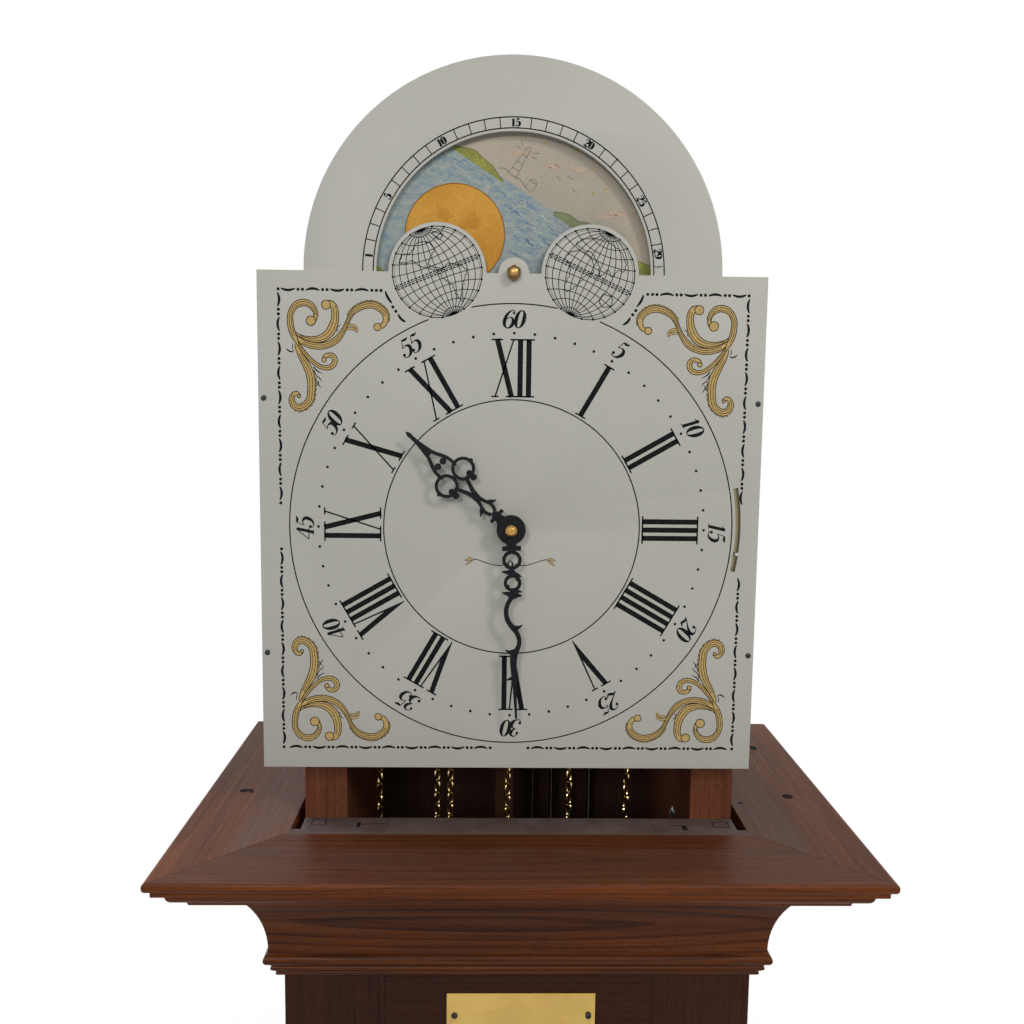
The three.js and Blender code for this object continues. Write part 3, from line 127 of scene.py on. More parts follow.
# What is seen of the floor is mostly white of its own, plus a share that takes the shadow;
# that share fades out with the distance from the object's foot.
floor_paint = bpy.data.materials.new("floor_paint")
floor_paint.use_nodes = True
tree = floor_paint.node_tree
place = tree.nodes.new("ShaderNodeTexCoord")
reach = tree.nodes.new("ShaderNodeVectorMath")
reach.operation = "LENGTH"
fade = tree.nodes.new("ShaderNodeMapRange")
fade.interpolation_type = "SMOOTHSTEP"
fade.inputs["From Min"].default_value = FLOOR_NEAR
fade.inputs["From Max"].default_value = FLOOR_FAR
tree.links.new(place.outputs["Object"], reach.inputs[0])
tree.links.new(reach.outputs["Value"], fade.inputs["Value"])
shadowed = tree.nodes.new("ShaderNodeAddShader")
shadow_grey = (SHADOW_SHARE, SHADOW_SHARE, SHADOW_SHARE, 1)
tree.links.new(shader_node(tree, "ShaderNodeBsdfDiffuse", shadow_grey), shadowed.inputs[0])
tree.links.new(shader_node(tree, "ShaderNodeEmission", PAPER_WHITE, 1 - SHADOW_SHARE), shadowed.inputs[1])
shown = mixed(tree, fade.outputs[0], shadowed.outputs[0],
              shader_node(tree, "ShaderNodeEmission", PAPER_WHITE, 1.0))
plain = shader_node(tree, "ShaderNodeBsdfDiffuse", FLOOR_GREY)
tree.links.new(mixed(tree, seen_ray(tree), plain, shown),
               tree.nodes["Material Output"].inputs["Surface"])
floor_mesh.materials.append(floor_paint)


def soft_lamp(name, place, aim, size, watts, colour):
    """A square area lamp at a place, turned so that it shines at the aim."""
    data = bpy.data.lights.new(name, "AREA")
    data.shape = "SQUARE"
    data.size = size
    data.energy = watts
    data.color = colour
    lamp = bpy.data.objects.new(name, data)
    scene.collection.objects.link(lamp)
    lamp.location = place
    lamp.rotation_euler = (Vector(aim) - Vector(place)).to_track_quat("-Z", "Y").to_euler()


soft_lamp("key_lamp", (1.3, -1.9, 2.9), aim=(0, 0, 1.5), size=0.5, watts=22, colour=(1.0, 0.97, 0.93))
soft_lamp("front_lamp", (-0.5, -2.3, 2.3), aim=(0, 0, 1.5), size=0.35, watts=15, colour=(1.0, 0.98, 0.95))
soft_lamp("window_lamp", (-1.9, 1.0, 2.5), aim=(-0.1, 0, 1.4), size=1.4, watts=34, colour=(0.66, 0.77, 1.0))
soft_lamp("trunk_lamp", (0.5, -2.7, 2.6), aim=(0, 0, 0.6), size=0.9, watts=10, colour=(1.0, 0.98, 0.95))

camera_data = bpy.data.cameras.new("camera")
camera_data.lens = CAMERA_LENS
camera_data.sensor_width = CAMERA_SENSOR
camera_data.clip_start = CAMERA_NEAREST
camera = bpy.data.objects.new("camera", camera_data)
scene.collection.objects.link(camera)
right, down, forward = (Vector(v).normalized() for v in (CAMERA_RIGHT, CAMERA_DOWN, CAMERA_FORWARD))
turn = Matrix((right, -down, -forward)).transposed().to_4x4()
camera.matrix_world = Matrix.Translation(CAMERA_PLACE) @ turn
scene.camera = camera

# The base: a front board and two side boards on bracket feet, cherry stained red-brown and
# rubbed to a soft shine. The boards are planed, with their edges eased by sandpaper.
WOOD_LIGHT = (0.200, 0.058, 0.0145, 1)
WOOD_DARK = (0.034, 0.0085, 0.0032, 1)
RING_PITCH = 3.6
RING_STRETCH = 0.055
GRAIN_AXES = {"x": 0, "y": 1, "z": 2}
SHARP_ANGLE = math.radians(33)


def new_material(name, **constants):
    """A Principled material with its constants set straight on the shader's own sockets."""
    material = bpy.data.materials.new(name)
    material.use_nodes = True
    shader = material.node_tree.nodes["Principled BSDF"]
    for socket, value in constants.items():
        shader.inputs[socket.replace("_", " ")].default_value = value
    return material, material.node_tree, shader


def object_place(tree, scale=(1, 1, 1), location=(0, 0, 0)):
    """Object coordinates, scaled and then moved."""
    place = tree.nodes.new("ShaderNodeTexCoord")
    moved = tree.nodes.new("ShaderNodeMapping")
    moved.inputs["Scale"].default_value = scale
    moved.inputs["Location"].default_value = location
    tree.links.new(place.outputs["Object"], moved.inputs["Vector"])
    return moved.outputs["Vector"]


def stretched_noise(tree, scale, detail, rough, offset=(0, 0, 0)):
    """Noise on Object coordinates; scale is its frequency along X, Y and Z, per metre."""
    noise = tree.nodes.new("ShaderNodeTexNoise")
    noise.inputs["Scale"].default_value = 1.0
    noise.inputs["Detail"].default_value = detail
    noise.inputs["Roughness"].default_value = rough
    tree.links.new(object_place(tree, scale, offset), noise.inputs["Vector"])
    return noise.outputs["Fac"]


def ramp(tree, factor, stops):
    """A colour ramp through (position, colour) stops; a plain number is a grey."""
    node = tree.nodes.new("ShaderNodeValToRGB")
    elements = node.color_ramp.elements
    while len(elements) < len(stops):
        elements.new(0.5)
    for element, (position, colour) in zip(elements, stops):
        element.position = position
        element.color = colour if isinstance(colour, tuple) else (colour, colour, colour, 1)
    tree.links.new(factor, node.inputs["Fac"])
    return node.outputs["Color"]


def blend_colours(tree, factor, first, second, mode="MIX"):
    """A colour mix; each colour is a socket or a plain colour."""
    node = tree.nodes.new("ShaderNodeMix")
    node.data_type = "RGBA"
    node.blend_type = mode
    if isinstance(factor, (int, float)):
        node.inputs["Factor"].default_value = factor
    else:
        tree.links.new(factor, node.inputs["Factor"])
    for slot, value in ((6, first), (7, second)):
        if isinstance(value, tuple):
            node.inputs[slot].default_value = value
        else:
            tree.links.new(value, node.inputs[slot])
    return node.outputs[2]


def bump_into(tree, shader, height, distance, strength):
    """A Bump node whose height socket is in shares of the distance, in metres."""
    bump = tree.nodes.new("ShaderNodeBump")
    bump.inputs["Distance"].default_value = distance
    bump.inputs["Strength"].default_value = strength
    tree.links.new(height, bump.inputs["Height"])
    tree.links.new(bump.outputs["Normal"], shader.inputs["Normal"])


def rough_by(tree, shader, pattern, low, spread):
    """Roughness = low + spread x pattern."""
    tree.links.new(maths(tree, "MULTIPLY_ADD", pattern, spread, low), shader.inputs["Roughness"])


def grain_scale(axis, across, along):
    """Frequencies across the grain on two axes and along it on the third."""
    return tuple(along if i == GRAIN_AXES[axis] else across for i in range(3))


def growth_rings(tree, axis, heart, offset):
    """Rings are shells about a heart, in millimetres, drawn out along the grain: the length
    of the place less the heart, with its part along the grain scaled down, plus a slow
    wander. Each ring darkens slowly and ends sharply."""
    scale = grain_scale(axis, 1.0, RING_STRETCH)
    radius = tree.nodes.new("ShaderNodeVectorMath")
    radius.operation = "LENGTH"
    centred = tuple(-h * MM * s for h, s in zip(heart, scale))
    tree.links.new(object_place(tree, scale, centred), radius.inputs[0])
    wander = stretched_noise(tree, grain_scale(axis, 13, 1.3), 3.0, 0.5, offset)
    reach = maths(tree, "MULTIPLY_ADD", wander, 0.022, radius.outputs["Value"])
    ring = maths(tree, "FRACT", maths(tree, "MULTIPLY", reach, 1 / (RING_PITCH * MM)))
    return ramp(tree, ring, [(0.0, 0.25), (0.60, 0.42), (0.88, 1.0), (0.95, 0.80), (1.0, 0.25)])


def wood_grain(tree, axis, heart, light_tone, dark_tone, seed, figure):
    """Stained wood: growth rings, streaks and broad patches set the tone between the light
    and the dark colour, and fine short pores darken it."""
    offset = (seed * 1.7, seed * 2.3, seed * 3.1)
    rings = growth_rings(tree, axis, heart, offset)
    streaks = stretched_noise(tree, grain_scale(axis, 520, 11), 6.0, 0.62, offset)
    patches = stretched_noise(tree, grain_scale(axis, 10, 2.4), 3.0, 0.5, offset)
    pores = stretched_noise(tree, grain_scale(axis, 2600, 190), 2.0, 0.5, offset)
    tone = maths(tree, "MULTIPLY", rings, figure)
    tone = maths(tree, "MULTIPLY_ADD", streaks, 0.62, tone)
    tone = maths(tree, "MULTIPLY_ADD", patches, 0.55, tone)
    middle = tuple(a * 0.42 + b * 0.58 for a, b in zip(light_tone, dark_tone))
    colour = ramp(tree, tone, [(0.36, light_tone), (0.62, middle), (0.98, dark_tone)])
    pore_mask = ramp(tree, pores, [(0.34, (0.55, 0.50, 0.48, 1)), (0.44, (1, 1, 1, 1))])
    return blend_colours(tree, 0.8, colour, pore_mask, "MULTIPLY"), streaks, pores


def wood(name, axis, heart, seed, light_tone=WOOD_LIGHT, dark_tone=WOOD_DARK, shine=0.42, coat=0.035,
         figure=0.15, dust=None):
    """Stained cherry with its grain along one axis, under a thin rubbed varnish. Dust is a
    function that gives the share of the surface that lies under it."""
    material, tree, shader = new_material(name, Coat_Weight=coat, Coat_Roughness=0.22,
                                          Specular_IOR_Level=0.07)
    colour, streaks, pores = wood_grain(tree, axis, heart, light_tone, dark_tone, seed, figure)
    dullness = maths(tree, "MULTIPLY_ADD", streaks, 0.24, shine - 0.12)
    if dust:
        share = dust(tree)
        colour = blend_colours(tree, share, colour, DUST_GREY)
        dullness = maths(tree, "MULTIPLY_ADD", share, 0.35, dullness)
    tree.links.new(colour, shader.inputs["Base Color"])
    tree.links.new(dullness, shader.inputs["Roughness"])
    bump_into(tree, shader, maths(tree, "MULTIPLY_ADD", pores, 0.7, streaks), 0.00010, 0.45)
    return material


def place_mesh(name, mesh, body, slot, material, *nodes):
    """A finished mesh becomes a piece that rides on a body and may stand for CAD nodes."""
    piece = bpy.data.objects.new(name, mesh)
    scene.collection.objects.link(piece)
    mesh.materials.clear()
    mesh.materials.append(material)
    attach(piece, body)
    if nodes:
        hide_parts(*nodes)
    return piece


def shade(mesh, angle=SHARP_ANGLE):
    """Smooth faces, with every edge sharper than the angle kept crisp."""
    mesh.polygons.foreach_set("use_smooth", np.ones(len(mesh.polygons), bool))
    mesh.set_sharp_from_angle(angle=angle)


def round_edges(piece, name, width, segments, over):
    """Rounds a piece's edges that turn by more than an angle, in degrees, by a width."""
    edge = piece.modifiers.new(name, "BEVEL")
    edge.width = width * MM
    edge.segments = segments
    edge.limit_method = "ANGLE"
    edge.angle_limit = math.radians(over)


def eased(node, body, slot, material, width):
    """A copy of a CAD board with its corners merged, its flat faces made whole and its
    edges rounded by the width, in millimetres. It stands for the board."""
    shape = bmesh.new()
    shape.from_mesh(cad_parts[node].data)
    bmesh.ops.remove_doubles(shape, verts=shape.verts, dist=1e-6)
    bmesh.ops.dissolve_limit(shape, angle_limit=math.radians(0.5), verts=shape.verts, edges=shape.edges)
    mesh = bpy.data.meshes.new(node + "_board")
    shape.to_mesh(mesh)
    shape.free()
    round_edges(place_mesh(node + "_board", mesh, body, slot, material, node), "eased_edges", width, 2, 30)
    shade(mesh, math.radians(45))


BASE_FRONT_HEART = (30, -76, 210)
BASE_SIDE_HEARTS = {"left": (-140, 40, 260), "right": (140, -20, 180)}
eased("base_front", "case", "case_wood", wood("base_front_wood", "z", BASE_FRONT_HEART, 3.0), width=1.6)
for side, heart in BASE_SIDE_HEARTS.items():
    eased("base_" + side, "case", "case_wood", wood(f"base_{side}_wood", "z", heart, len(side)), width=1.6)

# The trunk: stiles, rails and side boards of the same cherry, glued at square joints, and a
# thin back board held by screws. The stiles and rails get much darker tones than the side
# boards: painted shade, standing for the shadow that the cornice casts on the trunk's top.
# The inside faces and the back are left plain.
PLAIN_LIGHT = (0.052, 0.026, 0.018, 1)
PLAIN_DARK = (0.020, 0.009, 0.006, 1)
DUST_GREY = (0.165, 0.125, 0.110, 1)
SHELF_TOP = 1399.3
TRUNK_HALF = 135.25
TRUNK_FRONT = -70.75
CASE_BACK = 130.75
FRAME_EDGE = 69.65
SHELF_REACH = 60.0
STILE_HEARTS = {"left": (-160, 30, 900), "right": (190, 20, 700)}
SIDE_HEARTS = {"left": (-96, 52, 820), "right": (96, 24, 700)}


def shelf_dust(tree):
    """Dust on the top of the case: thick on the frame's own edge, hardly any where the hood stood,
    thin outside that on the front, and thick near the sides. The overhang is the greater of
    -y and |x|, less the frame's, as a share of the cornice's reach."""
    parts = tree.nodes.new("ShaderNodeSeparateXYZ")
    tree.links.new(object_place(tree), parts.inputs["Vector"])
    x, y, z = (parts.outputs[axis] for axis in "XYZ")
    reach = 1 / (SHELF_REACH * MM)
    ahead = maths(tree, "MULTIPLY_ADD", y, -reach, -FRAME_EDGE * MM * reach)
    beside = maths(tree, "MULTIPLY_ADD", maths(tree, "ABSOLUTE", x), reach, -TRUNK_HALF * MM * reach)
    cloud = stretched_noise(tree, (40, 40, 40), 6.0, 0.65)
    wiggle = maths(tree, "MULTIPLY_ADD", cloud, 0.16, -0.08)
    front = ramp(tree, maths(tree, "ADD", ahead, maths(tree, "MULTIPLY", wiggle, 0.2)),
                 [(0.0, 0.62), (0.012, 0.05), (0.30, 0.03), (0.33, 0.16), (1.0, 0.10)])
    sides = ramp(tree, maths(tree, "ADD", beside, wiggle),
                 [(0.0, 0.55), (0.36, 0.50), (0.50, 0.12), (1.0, 0.10)])
    is_side = maths(tree, "GREATER_THAN", beside, ahead)
    share = blend_colours(tree, is_side, front, sides)
    top = maths(tree, "GREATER_THAN", z, SHELF_TOP * MM)
    speckle = stretched_noise(tree, (900, 900, 900), 3.0, 0.7)
    patchy = maths(tree, "MULTIPLY_ADD", maths(tree, "MULTIPLY", cloud, speckle), 3.2, 0.15)
    return maths(tree, "MULTIPLY", maths(tree, "MULTIPLY", share, patchy), top, clamp=True)


# Darker tones of the same cherry for the stiles and rails: painted shade for the shadow under the cornice's
# overhang.
SHADED_TRUNK_LIGHT = (0.062, 0.019, 0.009, 1)
SHADED_TRUNK_DARK = (0.017, 0.0052, 0.0034, 1)
rail_wood = wood("rail_wood", "x", (20, -30, 1150), 2.0, SHADED_TRUNK_LIGHT, SHADED_TRUNK_DARK, dust=shelf_dust)
plain_wood = wood("plain_wood", "z", (20, 150, 900), 7.0, PLAIN_LIGHT, PLAIN_DARK, shine=0.55, coat=0.0)
for side in ("left", "right"):
    stile_wood = wood(f"stile_{side}_wood", "z", STILE_HEARTS[side], 1.0 + len(side), SHADED_TRUNK_LIGHT, SHADED_TRUNK_DARK,
                      dust=shelf_dust)
    side_wood = wood(f"side_{side}_wood", "z", SIDE_HEARTS[side], 5.0 + len(side))
    eased("stile_" + side, "case", "case_wood", stile_wood, width=0.5)
    eased("side_board_" + side, "case", "case_wood", side_wood, width=0.5)
eased("top_rail", "case", "case_wood", rail_wood, width=0.3)
eased("bottom_rail", "case", "case_wood", rail_wood, width=0.3)
eased("back_board", "case", "inner_wood", plain_wood, width=0.5)

# Mouldings: the base moulding, the cove and the cornice are run in lengths from one cutter
# each, mitred at the front corners and sawn square at the back.
MITRE_GAP = 0.22
BASE_MITRE_GAP = 0.1
MOULDING_ANGLE = math.radians(28)
CORNICE_TOP = 1400.0
CORNICE_UNDER = 1379.5


def arc(centre, radius, start, end, count):
    """Points of a circle's arc: centre + radius x (cosine, sine), in degrees."""
    turn = np.radians(np.linspace(start, end, count))
    return np.stack([centre[0] + radius * np.cos(turn), centre[1] + radius * np.sin(turn)], 1)


def curve(first, bend, last, count=8):
    """A quadratic curve: (1-t)^2 first + 2t(1-t) bend + t^2 last."""
    t = np.linspace(0, 1, count)[:, None]
    first, bend, last = (np.array(p, float) for p in (first, bend, last))
    return (1 - t) ** 2 * first + 2 * t * (1 - t) * bend + t ** 2 * last


def grid_faces(rows, columns, wrap_rows=False, wrap_columns=True):
    """Four-cornered faces of a grid of points, numbered row by row."""
    i, j = np.meshgrid(np.arange(rows if wrap_rows else rows - 1),
                       np.arange(columns if wrap_columns else columns - 1), indexing="ij")
    i, j = i.ravel(), j.ravel()
    ni, nj = (i + 1) % rows, (j + 1) % columns
    return np.stack([i * columns + j, i * columns + nj, ni * columns + nj, ni * columns + j], 1)


def fit_piece(name, part, body, slot, material, *nodes, angle=SHARP_ANGLE):
    """A piece of points, in millimetres, and faces, as lists of corners, turned outwards."""
    points, faces = part
    mesh = bpy.data.meshes.new(name)
    mesh.from_pydata((np.asarray(points, float) * MM).tolist(), [], [list(map(int, f)) for f in faces])
    shape = bmesh.new()
    shape.from_mesh(mesh)
    bmesh.ops.recalc_face_normals(shape, faces=shape.faces)
    shape.to_mesh(mesh)
    shape.free()
    shade(mesh, angle)
    return place_mesh(name, mesh, body, slot, material, *nodes)


def between(first, last):
    """Two like rims of points joined by faces all round, with a face on each."""
    count = len(first)
    faces = [tuple(f) for f in grid_faces(2, count)]
    return np.concatenate([first, last]), faces + [tuple(range(count)), tuple(range(count, 2 * count))]


def joined(parts):
    """Several lists of points and faces, numbered as one."""
    points, faces, start = [], [], 0
    for part_points, part_faces in parts:
        points.append(np.asarray(part_points, float))
        faces += [tuple(int(i) + start for i in f) for f in part_faces]
        start += len(part_points)
    return np.concatenate(points), faces


def at_mitre(side, gap_x=0.0, gap_y=0.0):
    """Sends [overhang, height] to a front corner, left -1 or right 1, less a gap each way."""
    return lambda out, z: np.stack([side * (TRUNK_HALF + out - gap_x), TRUNK_FRONT - out + gap_y, z], 1)


def at_back(side):
    """Sends [overhang, height] to the case's back, left -1 or right 1."""
    return lambda out, z: np.stack([side * (TRUNK_HALF + out), np.full_like(out, CASE_BACK), z], 1)


def three_lengths(profile, front_gap, side_gap):
    """The front, left and right lengths of a moulding: a profile of [overhang, height] set
    out at the two ends of each and joined by straight lines, with hairline mitres."""
    ends = [(at_mitre(-1, front_gap), at_mitre(1, front_gap)), (at_back(-1), at_mitre(-1, 0.0, side_gap)),
            (at_mitre(1, 0.0, side_gap), at_back(1))]
    return [between(start(*profile.T), end(*profile.T)) for start, end in ends]


cornice_profile = np.concatenate([
    [(-3.0, CORNICE_TOP)], [(58.4, CORNICE_TOP)],
    curve((58.4, CORNICE_TOP), (60.2, 1399.8), (60.0, 1397.6)),
    curve((60.0, 1397.2), (59.9, 1394.9), (57.6, 1394.6), 6),
    [(56.7, 1394.3), (56.7, 1391.6)],
    curve((56.4, 1391.2), (52.4, 1390.9), (51.6, 1389.6), 5),
    curve((51.2, 1389.2), (51.0, 1385.0), (47.0, 1383.9), 8),
    curve((46.6, 1383.8), (42.6, 1383.0), (41.7, 1379.6), 8),
    [(41.7, CORNICE_UNDER), (-3.0, CORNICE_UNDER)],
])
cove_profile = np.concatenate([
    [(0.0, CORNICE_UNDER)],
    arc((68.0, 1334.0), 60.4, 131.2, 180.0, 26),
    [(7.9, 1332.9)],
    arc((6.9, 1329.2), 3.4, 72, -80, 14),
    [(7.1, 1325.4), (6.7, 1324.9)],
    arc((5.2, 1322.9), 1.6, 60, -60, 6),
    [(5.0, 1320.6), (4.5, 1320.2)],
    arc((2.9, 1318.6), 1.4, 60, -70, 6),
    [(2.2, 1316.95), (0.0, 1316.95)],
])
base_profile = np.concatenate([
    [(0.0, 430.0), (44.2, 430.0)],
    curve((44.2, 430.0), (45.0, 430.0), (45.0, 431.0), 4),
    curve((45.0, 438.5), (44.8, 441.8), (42.0, 442.0), 6),
    curve((40.5, 442.2), (6.0, 442.0), (3.2, 488.5), 22),
    [(2.6, 489.8), (0.0, 489.8)],
])
CORNICE_HEARTS = {"front": (40, -100, 1372), "left": (-190, 20, 1360), "right": (188, -10, 1366)}
COVE_HEARTS = {"front": (-25, -91, 1350), "left": (-160, 30, 1350), "right": (160, 30, 1340)}
CORNICE_LIGHT = (0.270, 0.078, 0.0195, 1)
CORNICE_DARK = (0.046, 0.0113, 0.0042, 1)
CORNICE_LOOK = dict(light_tone=CORNICE_LIGHT, dark_tone=CORNICE_DARK, figure=0.16, dust=shelf_dust)
COVE_LOOK = dict(shine=0.36, figure=0.34)
MOULDINGS = [("cornice", cornice_profile, CORNICE_HEARTS, 11.0, CORNICE_LOOK),
             ("cove", cove_profile, COVE_HEARTS, 14.0, COVE_LOOK)]
for moulding, profile, hearts, seed, look in MOULDINGS:
    lengths = three_lengths(profile, MITRE_GAP, MITRE_GAP)
    for number, (length, (side, heart)) in enumerate(zip(lengths, hearts.items())):
        name = f"{moulding}_{side}"
        run_wood = wood(name + "_wood", "x" if side == "front" else "y", heart, seed + number, **look)
        fit_piece(name + "_length", length, "case", "case_wood", run_wood, name, angle=MOULDING_ANGLE)
base_run_wood = wood("base_moulding_wood", "x", (0, -90, 440), 17.0)
base_lengths = joined(three_lengths(base_profile, 0.0, BASE_MITRE_GAP))
fit_piece("base_moulding_lengths", base_lengths, "case", "case_wood", base_run_wood, "base_moulding",
          angle=MOULDING_ANGLE)

# The marks on the case's top: the slots where blocks and screws of the hood once sat, painted
# as flat near-black patches that stand for the shade inside them, and the square ends of the
# stiles' tenons and scratches as dark lines. They are thin inlays that all but sit flush with
# the wood.


def two_toned(name, scale, detail, rough, stops, dullness, spread, **constants):
    """A finish whose colour and roughness both follow one noise, even in every direction."""
    material, tree, shader = new_material(name, **constants)
    pattern = stretched_noise(tree, (scale, scale, scale), detail, rough)
    tree.links.new(ramp(tree, pattern, stops), shader.inputs["Base Color"])
    rough_by(tree, shader, pattern, dullness, spread)
    return material


# Near-black: painted shade for the inside of the slots and holes, and the dark of the joint lines and
# scratches.
hole_shade_and_joint_dark = two_toned("hole_shade_and_joint_dark", 700, 3.0, 0.6,
                      [(0.3, (0.006, 0.004, 0.004, 1)), (0.8, (0.020, 0.012, 0.010, 1))], 0.7, 0.2,
                      Specular_IOR_Level=0.1)
INLAY_RISE = 0.05
INLAY_DEPTH = 0.6


def spun(flat, degrees):
    """Flat points turned about the origin: (x cosine - y sine, x sine + y cosine)."""
    spin = math.radians(degrees)
    return flat @ np.array([[math.cos(spin), math.sin(spin)], [-math.sin(spin), math.cos(spin)]])


def inlay(x, y, width, depth, turn):
    """A flat oblong in the case's top, worn to blunt corners: each corner is cut off by a
    quarter of the shorter side."""
    half_x, half_y = width / 2, depth / 2
    cut = min(half_x, half_y) / 2
    rim = np.array([(half_x, half_y - cut), (half_x - cut, half_y), (cut - half_x, half_y),
                    (-half_x, half_y - cut), (-half_x, cut - half_y), (cut - half_x, -half_y),
                    (half_x - cut, -half_y), (half_x, cut - half_y)])
    rim = spun(rim, turn) + (x, y)
    high, low = CORNICE_TOP + INLAY_RISE, CORNICE_TOP - INLAY_DEPTH
    return between(np.insert(rim, 2, high, 1), np.insert(rim, 2, low, 1))


INLAYS = [
    (-172.3, -6.2, 5.6, 5.0, 12), (-167.9, -6.8, 2.6, 6.4, 20), (170.8, -12.6, 6.4, 6.6, -8),
    (171.9, 76.4, 5.0, 8.0, 0), (138.3, -23.2, 2.6, 2.6, 45), (-93.9, -57.2, 2.2, 7.0, 0),
    (-86.0, -55.8, 15.0, 0.5, 8), (96.3, -60.2, 3.0, 6.4, 0), (92.0, -57.0, 9.0, 0.5, 4),
    (-117.5, -57.4, 8.4, 0.5, 0), (-117.5, -50.2, 8.4, 0.5, 0), (-121.6, -53.8, 0.5, 7.4, 0),
    (-113.4, -53.8, 0.5, 7.4, 0), (118.5, -59.4, 9.0, 0.6, 0), (118.5, -52.2, 9.0, 0.5, 0),
    (114.0, -55.8, 0.6, 7.4, 0), (122.9, -55.8, 0.5, 7.4, 0),
]
fit_piece("case_top_marks", joined([inlay(*mark) for mark in INLAYS]), "case", "case_wood", hole_shade_and_joint_dark)

# The cheeks and the seat board: plain blocks that carry the movement, hidden when the hood
# is on, so they are only sawn and planed.
CHEEK_LIGHT = (0.215, 0.075, 0.034, 1)
CHEEK_DARK = (0.058, 0.018, 0.010, 1)
CHEEK_HEARTS = {"left": (-90, 60, 1350), "right": (90, 90, 1350)}
for side, heart in CHEEK_HEARTS.items():
    cheek_wood = wood(f"cheek_{side}_wood", "z", heart, 21.0 + len(side), CHEEK_LIGHT, CHEEK_DARK,
                      shine=0.46, coat=0.05)
    eased("cheek_" + side, "case", "inner_wood", cheek_wood, width=0.6)
seat_wood = wood("seat_wood", "x", (10, 0, 1430), 22.0, PLAIN_LIGHT, PLAIN_DARK, shine=0.5, coat=0.0)
eased("seat_board", "case", "inner_wood", seat_wood, width=0.6)

# The door: a lipped cherry frame, grooved for its pane, on a long brass hinge, with a turned
# brass knob at the other side.
door_wood = wood("door_wood", "z", (-120, -30, 900), 31.0, shine=0.36)
eased("door_frame", "door", "case_wood", door_wood, width=1.8)


def brass(name, colour, rough, brushed=None, tarnish=0.25):
    """Brass with faint tarnish clouds; brushed gives the axis of its fine scratches."""
    material, tree, shader = new_material(name, Metallic=1.0)
    cloud = stretched_noise(tree, (38, 38, 38), 5.0, 0.6)
    dull = tuple(c * share for c, share in zip(colour[:3], (0.60, 0.54, 0.46))) + (1,)
    tone = blend_colours(tree, maths(tree, "MULTIPLY", cloud, tarnish * 2, clamp=True), colour, dull)
    tree.links.new(tone, shader.inputs["Base Color"])
    scratch = grain_scale(brushed, 2600, 24) if brushed else (900, 900, 900)
    fine = stretched_noise(tree, scratch, 3.0, 0.6)
    smear = maths(tree, "MULTIPLY_ADD", cloud, 0.8, fine)
    rough_by(tree, shader, smear, rough - 0.14, 0.16)
    bump_into(tree, shader, fine, 0.00002, 0.35)
    return material


def glass(name):
    """Clear window glass, faintly green, with the slightest wave in its surface."""
    material, tree, shader = new_material(name, Roughness=0.02, IOR=1.5, Transmission_Weight=1.0,
                                          Base_Color=(0.93, 0.97, 0.95, 1))
    wave = stretched_noise(tree, (9, 9, 5), 2.0, 0.5)
    bump_into(tree, shader, wave, 0.0004, 0.08)
    return material


hinge_brass = brass("hinge_brass", (0.72, 0.50, 0.20, 1), 0.34, "z")
knob_brass = brass("knob_brass", (0.80, 0.58, 0.25, 1), 0.22)
eased("door_glass", "door", "glass", glass("pane_glass"), width=0.2)
eased("hinge_case_leaf", "case", "polished_brass", hinge_brass, width=0.12)
eased("hinge_door_leaf", "door", "polished_brass", hinge_brass, width=0.12)


def turned(profile, centre, axis, sides=64):
    """A profile of [radius, height] spun about an axis: radius x (cosine, sine) of the turn.
    Its first and last points lie on the axis and close the ends."""
    profile = np.asarray(profile, float)
    turn = np.linspace(0, 2 * np.pi, sides, endpoint=False)
    ring = profile[1:-1]
    across = ring[:, 0][:, None] * np.cos(turn)
    beside = ring[:, 0][:, None] * np.sin(turn)
    along = np.repeat(ring[:, 1][:, None], sides, 1)
    order = {"z": (across, beside, along), "y": (across, along, beside)}[axis]
    points = np.stack(order, -1).reshape(-1, 3)
    tips = np.zeros((2, 3))
    tips[:, GRAIN_AXES[axis]] = profile[[0, -1], 1]
    points = np.concatenate([points, tips]) + np.asarray(centre, float)
    faces = [tuple(f) for f in grid_faces(len(ring), sides)]
    first, last = len(ring) * sides, len(ring) * sides + 1
    faces += [(first, i, (i + 1) % sides) for i in range(sides)]
    top = (len(ring) - 1) * sides
    faces += [(last, top + (i + 1) % sides, top + i) for i in range(sides)]
    return points, faces


knob_low, knob_high = (np.array(corner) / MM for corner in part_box("door_knob"))
knob_centre = ((knob_low[0] + knob_high[0]) / 2, 0, (knob_low[2] + knob_high[2]) / 2)
knob_front, knob_back = knob_low[1], knob_high[1]
knob_profile = np.concatenate([
    [(0, knob_front)], arc((0, knob_front + 9.5), 9.5, -82, -20, 8) * (1.12, 1),
    [(10.9, knob_front + 8.2), (10.9, knob_front + 9.4), (8.6, knob_front + 11.2)],
    curve((6.0, knob_front + 12.8), (3.4, knob_front + 15), (4.0, knob_front + 20), 8),
    [(5.6, knob_back - 2.6), (8.6, knob_back - 2.2), (8.8, knob_back - 1.2), (8.6, knob_back - 0.2),
     (8.4, knob_back), (0, knob_back)],
])
fit_piece("turned_knob", turned(knob_profile, knob_centre, "y"), "door", "polished_brass", knob_brass,
          "door_knob")

# The brass plate on the top rail: plain sheet, cut square, polished and left bare, and fixed
# with two small black screws.
plate_brass = brass("plate_brass", (0.68, 0.475, 0.150, 1), 0.34, "x", tarnish=0.45)
eased("brass_plate", "case", "polished_brass", plate_brass, width=0.18)

# The movement: two brushed brass plates held apart by pillars, with the three chain wheels,
# the centre, hour and escape wheels between and before them, and the steel anchor behind.
movement_brass = brass("movement_brass", (0.66, 0.47, 0.20, 1), 0.34, "z")
wheel_brass = brass("wheel_brass", (0.72, 0.52, 0.23, 1), 0.30)


